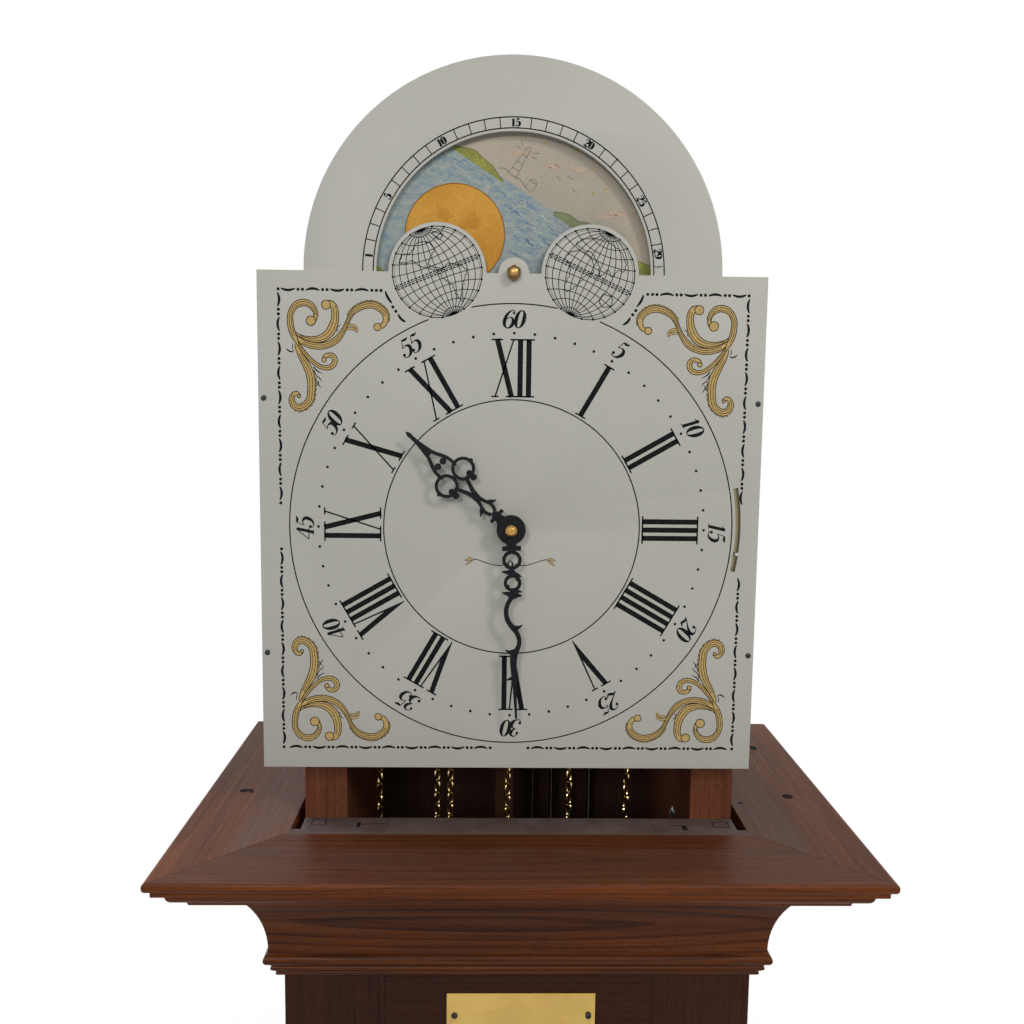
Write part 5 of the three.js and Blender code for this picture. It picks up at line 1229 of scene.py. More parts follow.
FIGURES = {
    "1": [[(0.02, 0.0, 0.075), (0.02, 0.96, 0.075)],
          [(0.02, 0.95, 0.02), (-0.08, 0.84, 0.02), (-0.20, 0.80, 0.015)],
          [(-0.14, 0.015, 0.018), (0.18, 0.015, 0.018)]],
    "2": [[(-0.20, 0.78, 0.02), (-0.16, 0.92, 0.02), (0.02, 0.98, 0.03), (0.21, 0.88, 0.075),
           (0.22, 0.68, 0.08), (0.06, 0.44, 0.04), (-0.16, 0.20, 0.02), (-0.27, 0.05, 0.02)],
          [(-0.27, 0.05, 0.02), (-0.14, 0.13, 0.05), (0.04, 0.07, 0.07), (0.18, 0.04, 0.05),
           (0.28, 0.20, 0.015)],
          ball(-0.16, 0.76, 0.085)],
    "3": [[(-0.20, 0.80, 0.02), (-0.12, 0.94, 0.02), (0.04, 0.98, 0.03), (0.19, 0.86, 0.07),
           (0.18, 0.68, 0.07), (0.02, 0.54, 0.02), (-0.06, 0.53, 0.015)],
          [(-0.06, 0.53, 0.015), (0.12, 0.50, 0.03), (0.25, 0.36, 0.075), (0.22, 0.13, 0.08),
           (0.02, 0.01, 0.03), (-0.16, 0.04, 0.02),
           (-0.24, 0.18, 0.02)], ball(-0.16, 0.79, 0.08), ball(-0.19, 0.19, 0.085)],
    "4": [[(0.10, 0.98, 0.02), (-0.10, 0.64, 0.02), (-0.32, 0.30, 0.02)],
          [(-0.32, 0.28, 0.022), (0.30, 0.28, 0.022)],
          [(0.12, 0.96, 0.07), (0.12, 0.02, 0.075)], [(-0.02, 0.015, 0.018), (0.26, 0.015, 0.018)]],
    "5": [[(-0.12, 0.95, 0.04), (0.06, 0.92, 0.06), (0.24, 0.97, 0.015)],
          [(-0.13, 0.95, 0.018), (-0.18, 0.54, 0.018)],
          [(-0.18, 0.54, 0.018), (-0.02, 0.62, 0.025), (0.18, 0.54, 0.07), (0.25, 0.34, 0.085),
           (0.16, 0.10, 0.06), (-0.02, 0.01, 0.025), (-0.18, 0.05, 0.02),
           (-0.24, 0.18, 0.02)], ball(-0.19, 0.19, 0.085)],
    "6": [[(0.21, 0.84, 0.02), (0.16, 0.96, 0.02), (0.02, 0.97, 0.025), (-0.17, 0.78, 0.06),
           (-0.25, 0.50, 0.085), (-0.22, 0.20, 0.075), (-0.02, 0.01, 0.025), (0.18, 0.12, 0.07),
           (0.23, 0.32, 0.08), (0.14, 0.54, 0.05), (-0.02, 0.60, 0.02),
           (-0.20, 0.46, 0.02)], ball(0.17, 0.83, 0.075)],
}
turn = np.linspace(0, 2 * np.pi, 33)
swell = 0.022 + 0.07 * np.abs(np.cos(turn)) ** 1.6
FIGURES["0"] = [list(zip(0.22 * np.cos(turn), 0.5 + 0.47 * np.sin(turn), swell))]
FIGURES["9"] = [[(-x, 1 - z, w) for x, z, w in FIGURES["6"][0]], ball(-0.17, 0.17, 0.075)]
FIGURE_WIDTH = {"0": 0.66, "1": 0.52, "2": 0.66, "3": 0.64, "4": 0.70, "5": 0.64, "6": 0.66, "9": 0.66}


def figure(kind, height, x, slant, weight):
    """The pen strokes of one figure about its middle: x = height x (across + slant x (up - 1/2)),
    z = height x (up - 1/2). Each stroke lies a hair over the last."""
    parts = []
    for step, pen in enumerate(FIGURES[kind]):
        front = INK_FRONT - PEN_RISE * step
        is_ball = pen[0] == "ball"
        across, up, half = pen[1:] if is_ball else spaced(pen, PEN_POINTS if len(pen) > 2 else 2).T
        place = x + height * (across + slant * (up - 0.5)), height * (up - 0.5)
        if is_ball:
            parts.append(dot(*place, half * height, 18, front))
        else:
            half = np.maximum(half, PEN_THINNEST) * height * weight
            parts.append(stroke(np.stack([*place, half], 1), front))
    return parts


def number(text, height, radius, degrees, slant=FIGURE_SLANT, weight=1.0, tight=1.0):
    """A number whose middle is on a radius, with its head outwards."""
    widths = [FIGURE_WIDTH[c] * height * tight for c in text]
    x = -sum(widths) / 2
    parts = []
    for kind, width in zip(text, widths):
        pens = figure(kind, height, x + width / 2, slant, weight)
        parts += [on_ring(part, radius, degrees) for part in pens]
        x += width
    return parts


FIGURE_HEIGHT, FIGURE_RADIUS = 10.0, 115.6
FIGURE_NUDGES = (0.9, 0.5, 1.4, 0.0, 1.0, -0.5, 0.3, -0.6, -0.6, 0.5, 1.0, 0.2)
minute_figures = []
for i, nudge in enumerate(FIGURE_NUDGES, 1):
    minute_figures += number(str(5 * i), FIGURE_HEIGHT, FIGURE_RADIUS, 30 * i + nudge / 2,
                             weight=1.15, tight=0.88)
print_ink("minute_figures", minute_figures, ink_black, PRINT_SHIFT)

# The border: curved dashes and pairs of dots along the dial's edge, with a slanting step at
# each upper corner to pass the arch.
BORDER_X = 128.75
BORDER_LOW, BORDER_HIGH = -127.3, 130.0
TOP_START, TOP_END, TOP_PITCH = 130.1, 74.0, 13.35
FOOT_START, FOOT_END, FOOT_PITCH = 128.5, 10.2, 13.2
UPPER_START, UPPER_PITCH = 131.1, 13.25
LOWER_START, LOWER_PITCH = -128.25, 12.96
DASH_HALF = 3.8
DASH_BOW = 1.0
BORDER_DOT = 0.88
DOT_GAP = 1.2
LAST_DOT_X = 72.9
COLUMN_GAPS = {-1: (-11.7, 11.9), 1: (-28.9, 14.2)}
STEP_DASHES = [((70.6, 129.8), (69.6, 125.8), (66.9, 123.2)), ((63.6, 117.6), (62.6, 114.4), (59.4, 113.3))]
STEP_DOTS = [(66.5, 121.2), (64.9, 118.9)]


def swelling(count):
    """Half widths of a dash, from pointed ends to a thick middle: a root of a cosine."""
    return 0.20 + 0.50 * np.sqrt(np.maximum(np.cos(np.linspace(-1, 1, count) * np.pi / 2), 0))


def dash(x, z, along_x, bow):
    """A curved dash: its line is a shallow parabola, bow x (1 - t^2)."""
    t = np.linspace(-1, 1, 17)
    lift = bow * DASH_BOW * (0.5 - t ** 2)
    if along_x:
        return stroke(np.stack([x + t * DASH_HALF, z + lift, swelling(17)], 1))
    return stroke(np.stack([x + lift, z + t * DASH_HALF, swelling(17)], 1))


def border_row(start, end, pitch, fixed, along_x, bow):
    """Dashes and pairs of dots at an even pitch from start towards end."""
    parts = []
    step = pitch if end > start else -pitch
    for place in np.arange(start, end, step):
        middle = place + step / 2
        if (end - middle) * step > 0:
            parts.append(dash(middle, fixed, True, bow) if along_x else dash(fixed, middle, False, bow))
        for spot in (place + step - DOT_GAP, place + step + DOT_GAP):
            if (end - spot) * step > -0.4:
                parts.append(dot(spot, fixed, BORDER_DOT) if along_x else dot(fixed, spot, BORDER_DOT))
        bow = -bow
    return parts


border = []
for side in (-1, 1):
    border += border_row(side * FOOT_START, side * FOOT_END, FOOT_PITCH, BORDER_LOW, True, 1)
    border += border_row(side * TOP_START, side * TOP_END, TOP_PITCH, BORDER_HIGH, True, -1)
    border += [dot(side * BORDER_X, z, BORDER_DOT) for z in (BORDER_LOW, BORDER_HIGH)]
    border.append(dot(side * LAST_DOT_X, BORDER_HIGH, BORDER_DOT))
    low_end, high_end = COLUMN_GAPS[side]
    border += border_row(LOWER_START, low_end, LOWER_PITCH, side * BORDER_X, False, -side)
    border += border_row(UPPER_START, high_end, UPPER_PITCH, side * BORDER_X, False, -side)
    for bent in STEP_DASHES:
        line = curve(*((side * x, z) for x, z in bent), 13)
        border.append(stroke(np.column_stack([line, swelling(13)])))
    border += [dot(side * x, z, BORDER_DOT) for x, z in STEP_DOTS]
print_ink("border_dashes", border, ink_black, PRINT_SHIFT)

# The moon's scale: a band of day boxes between two arcs over the window, with a number at
# the first and every fifth day, and 29 1/2, the moon's month, at the end.
SCALE_IN, SCALE_OUT = 76.5, 82.2
SCALE_MIDDLE = (SCALE_IN + SCALE_OUT) / 2
SCALE_LINE = 0.33
SCALE_HEIGHT = 4.2
DAY_STEP = 6
SCALE_NUMBERS = {6: "1", 30: "5", 60: "10", 90: "15", 120: "20", 150: "25", 171.5: "29"}
HALF_DAY_ANGLE = 176.6
HALF_HEIGHT, HALF_LIFT = 2.0, 1.25
scale = [arc_line(radius, SCALE_LINE, 0, 180) for radius in (SCALE_IN, SCALE_OUT)]
scale_bar = bar((0, -(SCALE_OUT - SCALE_IN) / 2), (0, (SCALE_OUT - SCALE_IN) / 2), SCALE_LINE * 0.8)
for angle in range(2 * DAY_STEP, 180 - DAY_STEP, DAY_STEP):
    if min(abs(angle - numbered) for numbered in SCALE_NUMBERS) > DAY_STEP / 2:
        scale.append(on_ring(scale_bar, SCALE_MIDDLE, angle - 90))
for angle, text in SCALE_NUMBERS.items():
    scale += number(text, SCALE_HEIGHT, SCALE_MIDDLE, angle - 90, slant=0.0, weight=2.0)
for text, lift in (("1", HALF_LIFT), ("2", -HALF_LIFT)):
    scale += number(text, HALF_HEIGHT, SCALE_MIDDLE + lift, HALF_DAY_ANGLE - 90, slant=0.0, weight=1.4)
scale.append(on_ring(bar((-0.7, 0), (0.7, 0), 0.1), SCALE_MIDDLE, HALF_DAY_ANGLE - 90))
scale = [(points + np.array([0, 0, DIAL_HALF]), faces) for points, faces in scale]
print_ink("moon_scale", scale, ink_black)

# The four corner scrolls: leafy scrolls in tan gold ink with a fine dark line round each
# stroke, drawn once for the top left corner and turned over for the others.
gold_ink = ink("gold_ink", (0.52, 0.385, 0.155, 1), (0.43, 0.29, 0.11, 1))
SCROLL_STROKES = [
    [(-118.9, 100.4, 0.8), (-117.4, 96.3, 1.4), (-114.9, 91.6, 1.9), (-112.4, 87.0, 2.3), (-111.0, 82.8, 2.4),
     (-110.5, 78.7, 2.3), (-110.7, 74.5, 2.2), (-111.2, 70.6, 2.2), (-113.4, 67.3, 2.1), (-116.9, 65.5, 2.1),
     (-120.1, 66.6, 2.0), (-121.4, 69.7, 1.8), (-120.6, 72.4, 1.4), (-118.7, 73.3, 1.2), (-117.0, 71.9, 0.9)],
    [(-119.2, 103.6, 0.3), (-117.4, 100.4, 0.9), (-115.6, 97.4, 1.1), (-113.0, 94.0, 1.2),
     (-110.2, 91.1, 1.3), (-107.2, 88.8, 1.3), (-104.0, 87.5, 1.4), (-100.9, 87.5, 1.5),
     (-98.5, 89.0, 1.6), (-97.6, 91.7, 1.6), (-98.8, 93.8, 1.5), (-100.9, 94.3, 1.4), (-102.8, 93.5, 1.3),
     (-103.6, 91.8, 1.3)],
    [(-119.0, 105.4, 0.3), (-117.2, 102.9, 1.2), (-114.3, 100.9, 1.8), (-109.5, 99.3, 1.9),
     (-104.2, 99.2, 1.9), (-99.2, 100.9, 1.9), (-95.8, 103.5, 1.9), (-93.0, 107.3, 1.5),
     (-91.2, 110.9, 1.3), (-89.8, 114.1, 1.3), (-87.9, 117.2, 1.5), (-85.2, 119.5, 1.8),
     (-81.8, 121.1, 1.9), (-78.1, 121.7, 2.0), (-74.8, 121.0, 2.0), (-71.8, 119.1, 1.9),
     (-70.0, 116.6, 1.8), (-69.8, 113.7, 1.6), (-70.8, 111.4, 1.5), (-72.5, 110.0, 1.6)],
    [(-119.4, 106.8, 0.3), (-117.0, 104.6, 0.9), (-112.6, 103.0, 1.4), (-108.0, 102.6, 1.9),
     (-104.2, 103.6, 2.3), (-101.0, 105.8, 2.5), (-98.9, 109.0, 2.5), (-97.7, 112.4, 2.3),
     (-97.3, 116.2, 2.1), (-97.6, 119.4, 2.0), (-99.2, 121.8, 1.9), (-101.8, 121.9, 2.0)],
    [(-117.2, 99.0, 0.5), (-119.3, 103.4, 1.5), (-120.8, 107.0, 1.8), (-121.6, 110.8, 1.8),
     (-121.8, 114.5, 1.7), (-120.9, 118.0, 1.7), (-118.3, 121.2, 1.9), (-114.8, 122.4, 2.0),
     (-111.6, 121.8, 1.9), (-109.5, 120.1, 1.7), (-108.2, 118.0, 1.5), (-107.8, 115.8, 1.3),
     (-108.3, 113.7, 1.2), (-109.3, 112.5, 1.4)],
]
SCROLL_BALLS = [(-110.5, 112.7, 2.8), (-102.2, 121.4, 2.7), (-74.3, 109.8, 2.2), (-103.5, 91.7, 1.5),
                (-117.4, 71.7, 1.1)]
LEAF_TIPS = [
    [(-90.6, 110.3, 0.33), (-88.5, 110.7, 0.5), (-86.6, 110.0, 0.5), (-85.5, 108.5, 0.38),
     (-85.6, 106.5, 0.08)],
    [(-90.6, 108.7, 0.33), (-88.5, 108.7, 0.46), (-86.6, 108.2, 0.38), (-85.8, 107.0, 0.08)],
]
SCROLL_TIPS = [
    [(-124.1, 97.6, 0.12), (-122.9, 96.4, 0.38), (-121.2, 95.8, 0.38), (-119.8, 96.7, 0.17)],
    [(-120.6, 100.3, 0.12), (-120.7, 98.2, 0.25), (-120.2, 97.0, 0.12)],
    [(-96.8, 109.1, 0.21), (-95.4, 109.9, 0.25), (-94.1, 111.2, 0.08)],
    [(-96.6, 107.0, 0.21), (-96.0, 108.0, 0.21), (-95.9, 109.1, 0.08)],
    [(-109.3, 87.8, 0.33), (-107.7, 86.0, 0.38), (-106.0, 84.9, 0.25), (-104.5, 84.1, 0.08)],
    [(-109.1, 86.0, 0.29), (-108.1, 83.7, 0.25), (-107.2, 82.8, 0.08)],
    [(-107.7, 82.8, 0.21), (-106.0, 81.6, 0.29), (-104.8, 79.8, 0.08)],
    [(-107.9, 80.8, 0.21), (-106.6, 78.2, 0.29), (-105.2, 76.1, 0.08)],
    [(-107.5, 77.8, 0.21), (-106.6, 79.1, 0.21), (-106.4, 80.3, 0.08)],
]
STROKE_POINTS = 110
OUTLINE = 0.46
VEIN = 0.17
VEIN_SHARES = [(-0.36, 0.28), (0.05,), (-0.34, 0.3), (-0.4, 0.3), (-0.4, 0.25)]
SCALLOP = 0.32
# Which stroke has a scalloped edge, from which to which point of it, and on which side.
SCALLOPS = [(0, 34, 74, 1, 17), (2, 54, 98, 1, 32)]
GOLD_RISE, LINE_RISE, VEIN_RISE, STROKE_RISE = 0.004, 0.002, 0.006, 0.006


def side_of(line):
    """The unit normal at each point of a line of [x, z, ...]."""
    ahead = np.gradient(line[:, :2], axis=0)
    ahead /= np.linalg.norm(ahead, axis=1)[:, None]
    return np.stack([-ahead[:, 1], ahead[:, 0]], 1)


def beside(line, share, half):
    """A thin line beside another, moved along the normal by a share of the half width."""
    return even(line[:, :2] + side_of(line) * line[:, 2:3] * share, half)


def slimmer(line, by):
    """The same line with its half width less, and never under a hairline."""
    return np.column_stack([line[:, :2], np.maximum(line[:, 2] - by, 0.05)])


def mirrored(part, flip_x, flip_z):
    """A mark turned over about the hub's upright or level line."""
    points, faces = part
    return points * np.array([-1 if flip_x else 1, 1, -1 if flip_z else 1]), faces


scroll_gold, scroll_lines = [], []
scroll_paths = [spaced(points, STROKE_POINTS) for points in SCROLL_STROKES]
for order, line in enumerate(scroll_paths):
    front = INK_FRONT - STROKE_RISE * order
    scroll_lines.append(stroke(line, front - LINE_RISE))
    scroll_gold.append(stroke(slimmer(line, OUTLINE), front - GOLD_RISE))
    for share in VEIN_SHARES[order]:
        scroll_lines.append(stroke(beside(line[10:-16], share, VEIN), front - VEIN_RISE))
for order, first, last, edge, count in SCALLOPS:
    picked = np.linspace(first, last, count).astype(int)
    line, normal = scroll_paths[order][picked], side_of(scroll_paths[order])[picked]
    outside = line[:, :2] + normal * (line[:, 2:3] + 0.1) * edge
    front = INK_FRONT - STROKE_RISE * order
    scroll_lines += [dot(x, z, SCALLOP + 0.3, 12, front - LINE_RISE / 2) for x, z in outside]
    scroll_gold += [dot(x, z, SCALLOP, 12, front - LINE_RISE * 0.75) for x, z in outside]
top = INK_FRONT - STROKE_RISE * len(SCROLL_STROKES)
for x, z, radius in SCROLL_BALLS:
    scroll_lines.append(dot(x, z, radius, 28, top))
    scroll_gold.append(dot(x, z, radius - OUTLINE, 28, top - LINE_RISE))
for tip in LEAF_TIPS:
    line = spaced(tip, 16)
    scroll_lines.append(stroke(np.column_stack([line[:, :2], line[:, 2] + 0.28]), top))
    scroll_gold.append(stroke(line, top - LINE_RISE))
scroll_lines += [stroke(spaced(tip, 12), INK_FRONT - LINE_RISE) for tip in SCROLL_TIPS]
corners = [(False, False), (True, False), (False, True), (True, True)]
line_ink = ink("line_ink", (0.022, 0.015, 0.011, 1), (0.010, 0.007, 0.006, 1))
print_ink("scroll_gold", [mirrored(part, *corner) for corner in corners for part in scroll_gold], gold_ink)
print_ink("scroll_lines", [mirrored(part, *corner) for corner in corners for part in scroll_lines], line_ink)

# The flourish under the hub: two thin waving tendrils that end in small leaves, with a
# little knot between them. It is plain ornament and says nothing.
TENDRIL = [(2.2, -20.8, 0.20), (5.0, -21.6, 0.26), (9.0, -21.4, 0.24), (13.5, -20.2, 0.22),
           (18.0, -18.6, 0.24), (21.5, -18.2, 0.26), (24.4, -19.0, 0.14)]
TENDRIL_LEAVES = [[(20.5, -18.3, 0.2), (22.8, -18.0, 0.85), (25.8, -18.9, 0.1)],
                  [(21.0, -18.8, 0.2), (23.2, -20.1, 0.7), (25.2, -21.8, 0.1)]]
KNOT = [[(0, -23.4, 0.1), (1.3, -20.9, 0.55), (0, -18.4, 0.1)],
        [(0, -23.4, 0.1), (-1.3, -20.9, 0.55), (0, -18.4, 0.1)]]
flourish_dark = [stroke(spaced(leaf, 14)) for leaf in KNOT]
flourish_tan = []
for side in (False, True):
    flourish_dark.append(mirrored(stroke(spaced(TENDRIL, 40)), side, False))
    for leaf in TENDRIL_LEAVES:
        line = spaced(leaf, 14)
        flourish_dark.append(mirrored(stroke(line), side, False))
        flourish_tan.append(mirrored(stroke(slimmer(line, 0.24), INK_FRONT - LINE_RISE), side, False))
print_ink("flourish_lines", flourish_dark, line_ink)
print_ink("flourish_leaves", flourish_tan, gold_ink)

# The two globes: half-round maps over the window's foot, each a net of meridians and
# parallels with beads on its rim, a double broken line along the equator and plain coasts.
NET_R = 24.4
NET_LINE = 0.21
NET_STEP = 15
RIM_BEAD = 0.62
COAST_HALF = 0.2
COAST_WANDER = 0.35
GLOBE_TILTS = {-1: 22.0, 1: -25.0}
COASTS = {
    -1: [[(-0.72, 0.50), (-0.58, 0.62), (-0.40, 0.60), (-0.20, 0.74), (0.02, 0.70), (0.12, 0.50),
          (-0.02, 0.36), (-0.12, 0.22), (-0.02, 0.12), (0.10, 0.04), (0.02, 0.02), (-0.16, 0.16),
          (-0.32, 0.26), (-0.42, 0.42), (-0.60, 0.44), (-0.72, 0.50)],
         [(0.10, 0.02), (0.30, 0.08), (0.52, -0.04), (0.62, -0.20), (0.48, -0.40), (0.36, -0.60),
          (0.30, -0.80), (0.22, -0.62), (0.20, -0.36), (0.06, -0.16), (0.10, 0.02)],
         [(0.20, 0.84), (0.36, 0.82), (0.40, 0.70), (0.28, 0.66), (0.20, 0.84)]],
    1: [[(-0.62, 0.24), (-0.46, 0.36), (-0.22, 0.36), (-0.08, 0.28), (0.04, 0.06), (-0.08, -0.04),
         (-0.14, -0.28), (-0.28, -0.54), (-0.40, -0.50), (-0.42, -0.20), (-0.50, 0.00), (-0.66, 0.06),
         (-0.62, 0.24)],
        [(-0.58, 0.46), (-0.48, 0.62), (-0.26, 0.74), (0.04, 0.80), (0.36, 0.76), (0.58, 0.60), (0.66, 0.40),
         (0.52, 0.34), (0.46, 0.16), (0.32, 0.26), (0.22, 0.06), (0.10, 0.24), (-0.06, 0.36), (-0.18, 0.44),
         (-0.36, 0.42), (-0.58, 0.46)],
        [(0.46, -0.26), (0.66, -0.24), (0.72, -0.42), (0.56, -0.52), (0.44, -0.42), (0.46, -0.26)]],
}


def meridian(longitude):
    """A circle's arc through both poles that cuts the equator at a share of the radius: its
    middle is at (share^2 - 1) / (2 share) on the equator."""
    share = longitude / 90
    z = np.linspace(-1, 1, 60)
    if abs(share) < 0.01:
        return np.stack([0 * z, z], 1)
    middle = (share ** 2 - 1) / (2 * share)
    return np.stack([middle + np.sign(share) * np.sqrt((share - middle) ** 2 - z ** 2), z], 1)


def parallel(latitude):
    """A circle's arc through two rim points at the latitude and an even share of the axis."""
    share, sine, cosine = latitude / 90, math.sin(math.radians(latitude)), math.cos(math.radians(latitude))
    x = np.linspace(-cosine, cosine, 60)
    if abs(share) < 0.01:
        return np.stack([x, 0 * x], 1)
    middle = (share ** 2 - 1) / (2 * (share - sine))
    return np.stack([x, middle - np.sign(share) * np.sqrt((share - middle) ** 2 - x ** 2)], 1)


def on_globe(line, side):
    """Unit points turned by the globe's tilt and set on its place in the dial."""
    return spun(line, GLOBE_TILTS[side]) * NET_R + (side * GLOBE_X, DIAL_HALF)


def broken(line, half, count, share):
    """A line cut into dashes of even length, each a share of its step."""
    parts = []
    for i in range(count):
        t = np.linspace(i / count, (i + share) / count, 4)[:, None]
        parts.append(stroke(even(line[0] * (1 - t) + line[-1] * t, half)))
    return parts


globes = []
for side in (-1, 1):
    for longitude in range(-75, 90, NET_STEP):
        globes.append(stroke(even(on_globe(meridian(longitude), side), NET_LINE)))
    for latitude in range(-75, 90, NET_STEP):
        line = on_globe(parallel(latitude), side)
        globes.append(stroke(even(line, NET_LINE)))
        globes += [dot(x, z, RIM_BEAD, 12) for x, z in line[[0, -1]]]
    for shift in (-0.042, 0.042):
        equator = on_globe(np.array([(-0.98, shift), (0.98, shift)]), side)
        globes += broken(equator, half=0.36, count=22, share=0.72)
    for coast in COASTS[side]:
        line = spaced(even(on_globe(np.array(coast), side), COAST_HALF), 14 * len(coast))
        steps = np.arange(len(line))
        line[:, :2] += COAST_WANDER * np.stack([np.sin(steps * 0.9), np.cos(steps * 1.3)], 1)
        globes.append(stroke(line))
    globes.append(ring_line(NET_R, 0.24, side * GLOBE_X, DIAL_HALF, 120))
    globes.append(ring_line(NET_R - 1.0, 0.10, side * GLOBE_X, DIAL_HALF, 120))
print_ink("globe_nets", globes, ink_black)

# The moon disc: a painted sheet disc behind the window that turns once in two months. Two
# gold moons stand opposite each other, with a hand-coloured sea, hills and sky between them.
MOON_Z = HUB_Z + DIAL_HALF
DISC_FRONT = DIAL_FRONT + 5.6
DISC_TEETH = 118
DISC_R, TOOTH_R, PAINT_R = 80.4, 82.0, 79.6
MOON_SPOT_R = 27.4
MOON_SPOT_OUT = 38.6
MOON_ANGLE = 147.2
HORIZON = 40.0
LAYER = 0.02
SEA_LAYER, SKY_LAYER, FAR_LAYER, NEAR_LAYER, WAVE_LAYER = range(1, 6)
RIDGE_LAYER, STAR_LAYER, PENCIL_LAYER, MOON_SEA_LAYER, MOON_RIM_LAYER = range(6, 11)
disc_turn = np.linspace(0, 2 * np.pi, 2 * DISC_TEETH, endpoint=False)
disc_radius = np.where(np.arange(2 * DISC_TEETH) % 2 == 0, DISC_R, TOOTH_R)
disc_outline = np.stack([disc_radius * np.cos(disc_turn), disc_radius * np.sin(disc_turn)], 1)
disc_mesh = flat_plate("moon_disc_sheet", [disc_outline, circle(2.4, count=20)], DISC_FRONT, 1.0, 0.05,
                       DIAL_X, MOON_Z)
sheet_grey = two_toned("sheet_grey", 60, 4.0, 0.6,
                       [(0.3, (0.34, 0.34, 0.32, 1)), (0.7, (0.44, 0.44, 0.41, 1))], 0.4, 0.25,
                       Specular_IOR_Level=0.3)
place_mesh("moon_disc_sheet", disc_mesh, "moon", "moon_paint", sheet_grey, "moon_disc")


def wash(name, thin, thick, scale):
    """Colour rubbed on paper: a soft blotch and a fine grain set the tone between the two."""
    material, tree, shader = new_material(name, Specular_IOR_Level=0.1)
    blotch = stretched_noise(tree, scale, 4.0, 0.6)
    grain = stretched_noise(tree, (1500, 1500, 1500), 2.0, 0.6)
    tone = maths(tree, "MULTIPLY_ADD", grain, 0.5, maths(tree, "MULTIPLY", blotch, 0.5))
    tree.links.new(ramp(tree, tone, [(0.38, thick), (0.62, thin)]), shader.inputs["Base Color"])
    rough_by(tree, shader, grain, 0.6, 0.2)
    return material


def on_scene(line, half_turn):
    """Points drawn with the disc's outward direction up, turned to where the scene stands."""
    spin = math.radians(MOON_ANGLE + 180 * half_turn - 180)
    across, up = line[:, :1], line[:, 1:2]
    along = np.array([math.cos(spin), math.sin(spin)])
    outward = np.array([-math.sin(spin), math.cos(spin)])
    return np.column_stack([across * along + up * outward, line[:, 2:]])


def flat_patch(outline, layer):
    """A thin patch of paint on the disc, on a layer of its own."""
    return flat_mark(outline, DISC_FRONT - LAYER * layer, DISC_FRONT + LAYER)


def paint_disc(name, parts, look, thin, thick, scale=(90, 90, 90)):
    """Patches in the disc's X and Z become one piece in one wash, which turns with the disc."""
    points, faces = joined(parts)
    points = points + np.array([DIAL_X, 0, MOON_Z])
    fit_piece(name, (points, faces), "moon", "moon_paint", wash(look, thin, thick, scale), angle=PRINT_ANGLE)


def brush(line, half_turn, layer, half):
    """A brush stroke of even width on a scene."""
    return stroke(on_scene(even(line, half), half_turn), DISC_FRONT - LAYER * layer, DISC_FRONT + LAYER)


def hill_line(first, last, base, humps, count=40):
    """A ridge: base plus a sum of humps, each height x exp(-((u - place) / width)^2)."""
    u = np.linspace(first, last, count)
    v = np.full(count, float(base))
    for place, width, height in humps:
        v += height * np.exp(-((u - place) / width) ** 2)
    return np.stack([u, v], 1)


def put_land(land, line, shown, base, half_turn, layer, half):
    """The land under the shown part of a ridge, down to its base, and the ridge's own line."""
    line = line[shown & (np.hypot(line[:, 0], line[:, 1]) < PAINT_R - 0.5)]
    low = line[::-1] * (1, 0) + (0, base - 0.9)
    land.append(flat_patch(on_scene(np.concatenate([line, low]), half_turn), layer))
    ridge.append(brush(line, half_turn, RIDGE_LAYER, half))


FAR_BASE, NEAR_BASE = HORIZON - 0.6, HORIZON - 1.6
FAR_HILLS = [(8, 7, 4.2), (20, 6, 6.0), (33, 8, 3.6), (44, 6, 4.6)]
NEAR_HILLS = [(-54, 8, 5.0), (-42, 6, 3.2), (50, 9, 4.4), (62, 8, 6.0)]
CLOUDS = [(-14, 60, 12), (-2, 66, 9), (30, 59, 13), (24, 53, 8), (-34, 55, 9)]
STARS = [(-24, 68), (-8, 74), (6, 71), (17, 66), (38, 66), (12, 60), (-40, 62), (46, 58)]
CLOUD_ROWS = ((0.0, 1.0), (1.3, 0.8), (-1.2, 0.7), (2.4, 0.5), (-2.3, 0.35))
LIGHTHOUSE = [[(-32.6, 43.4), (-31.4, 56.0)], [(-27.4, 43.4), (-28.6, 56.0)], [(-32.0, 56.0), (-28.0, 56.0)],
              [(-31.2, 56.0), (-31.2, 59.2), (-28.8, 59.2), (-28.8, 56.0)],
              [(-31.8, 59.2), (-30.0, 61.4), (-28.2, 59.2)],
              [(-32.2, 47.4), (-27.8, 47.4)], [(-31.8, 51.6), (-28.2, 51.6)], [(-36.5, 58.2), (-33.5, 57.8)],
              [(-26.5, 57.8), (-23.5, 58.2)], [(-36.0, 61.6), (-33.2, 59.8)], [(-26.8, 59.8), (-24.0, 61.6)],
              [(-38.0, 43.0), (-35.0, 44.6), (-30.0, 43.6), (-25.0, 44.4), (-21.0, 42.6), (-17.0, 42.0)],
              [(-20.5, 42.6), (-20.5, 47.0), (-18.2, 49.0), (-16.0, 47.0), (-16.0, 42.4)],
              [(-20.5, 47.0), (-16.0, 47.0)]]
BIRDS = [(-8, 56), (-3, 59.5), (3, 55), (-12, 61)]
WAVES = 420
sky, sea, far_land, near_land, cloud, gold_dots, wave_blue, wave_pale, ridge, pencil = ([] for _ in range(10))
sea.append(flat_patch(circle(PAINT_R, count=150), SEA_LAYER))
dice = np.random.default_rng(11)
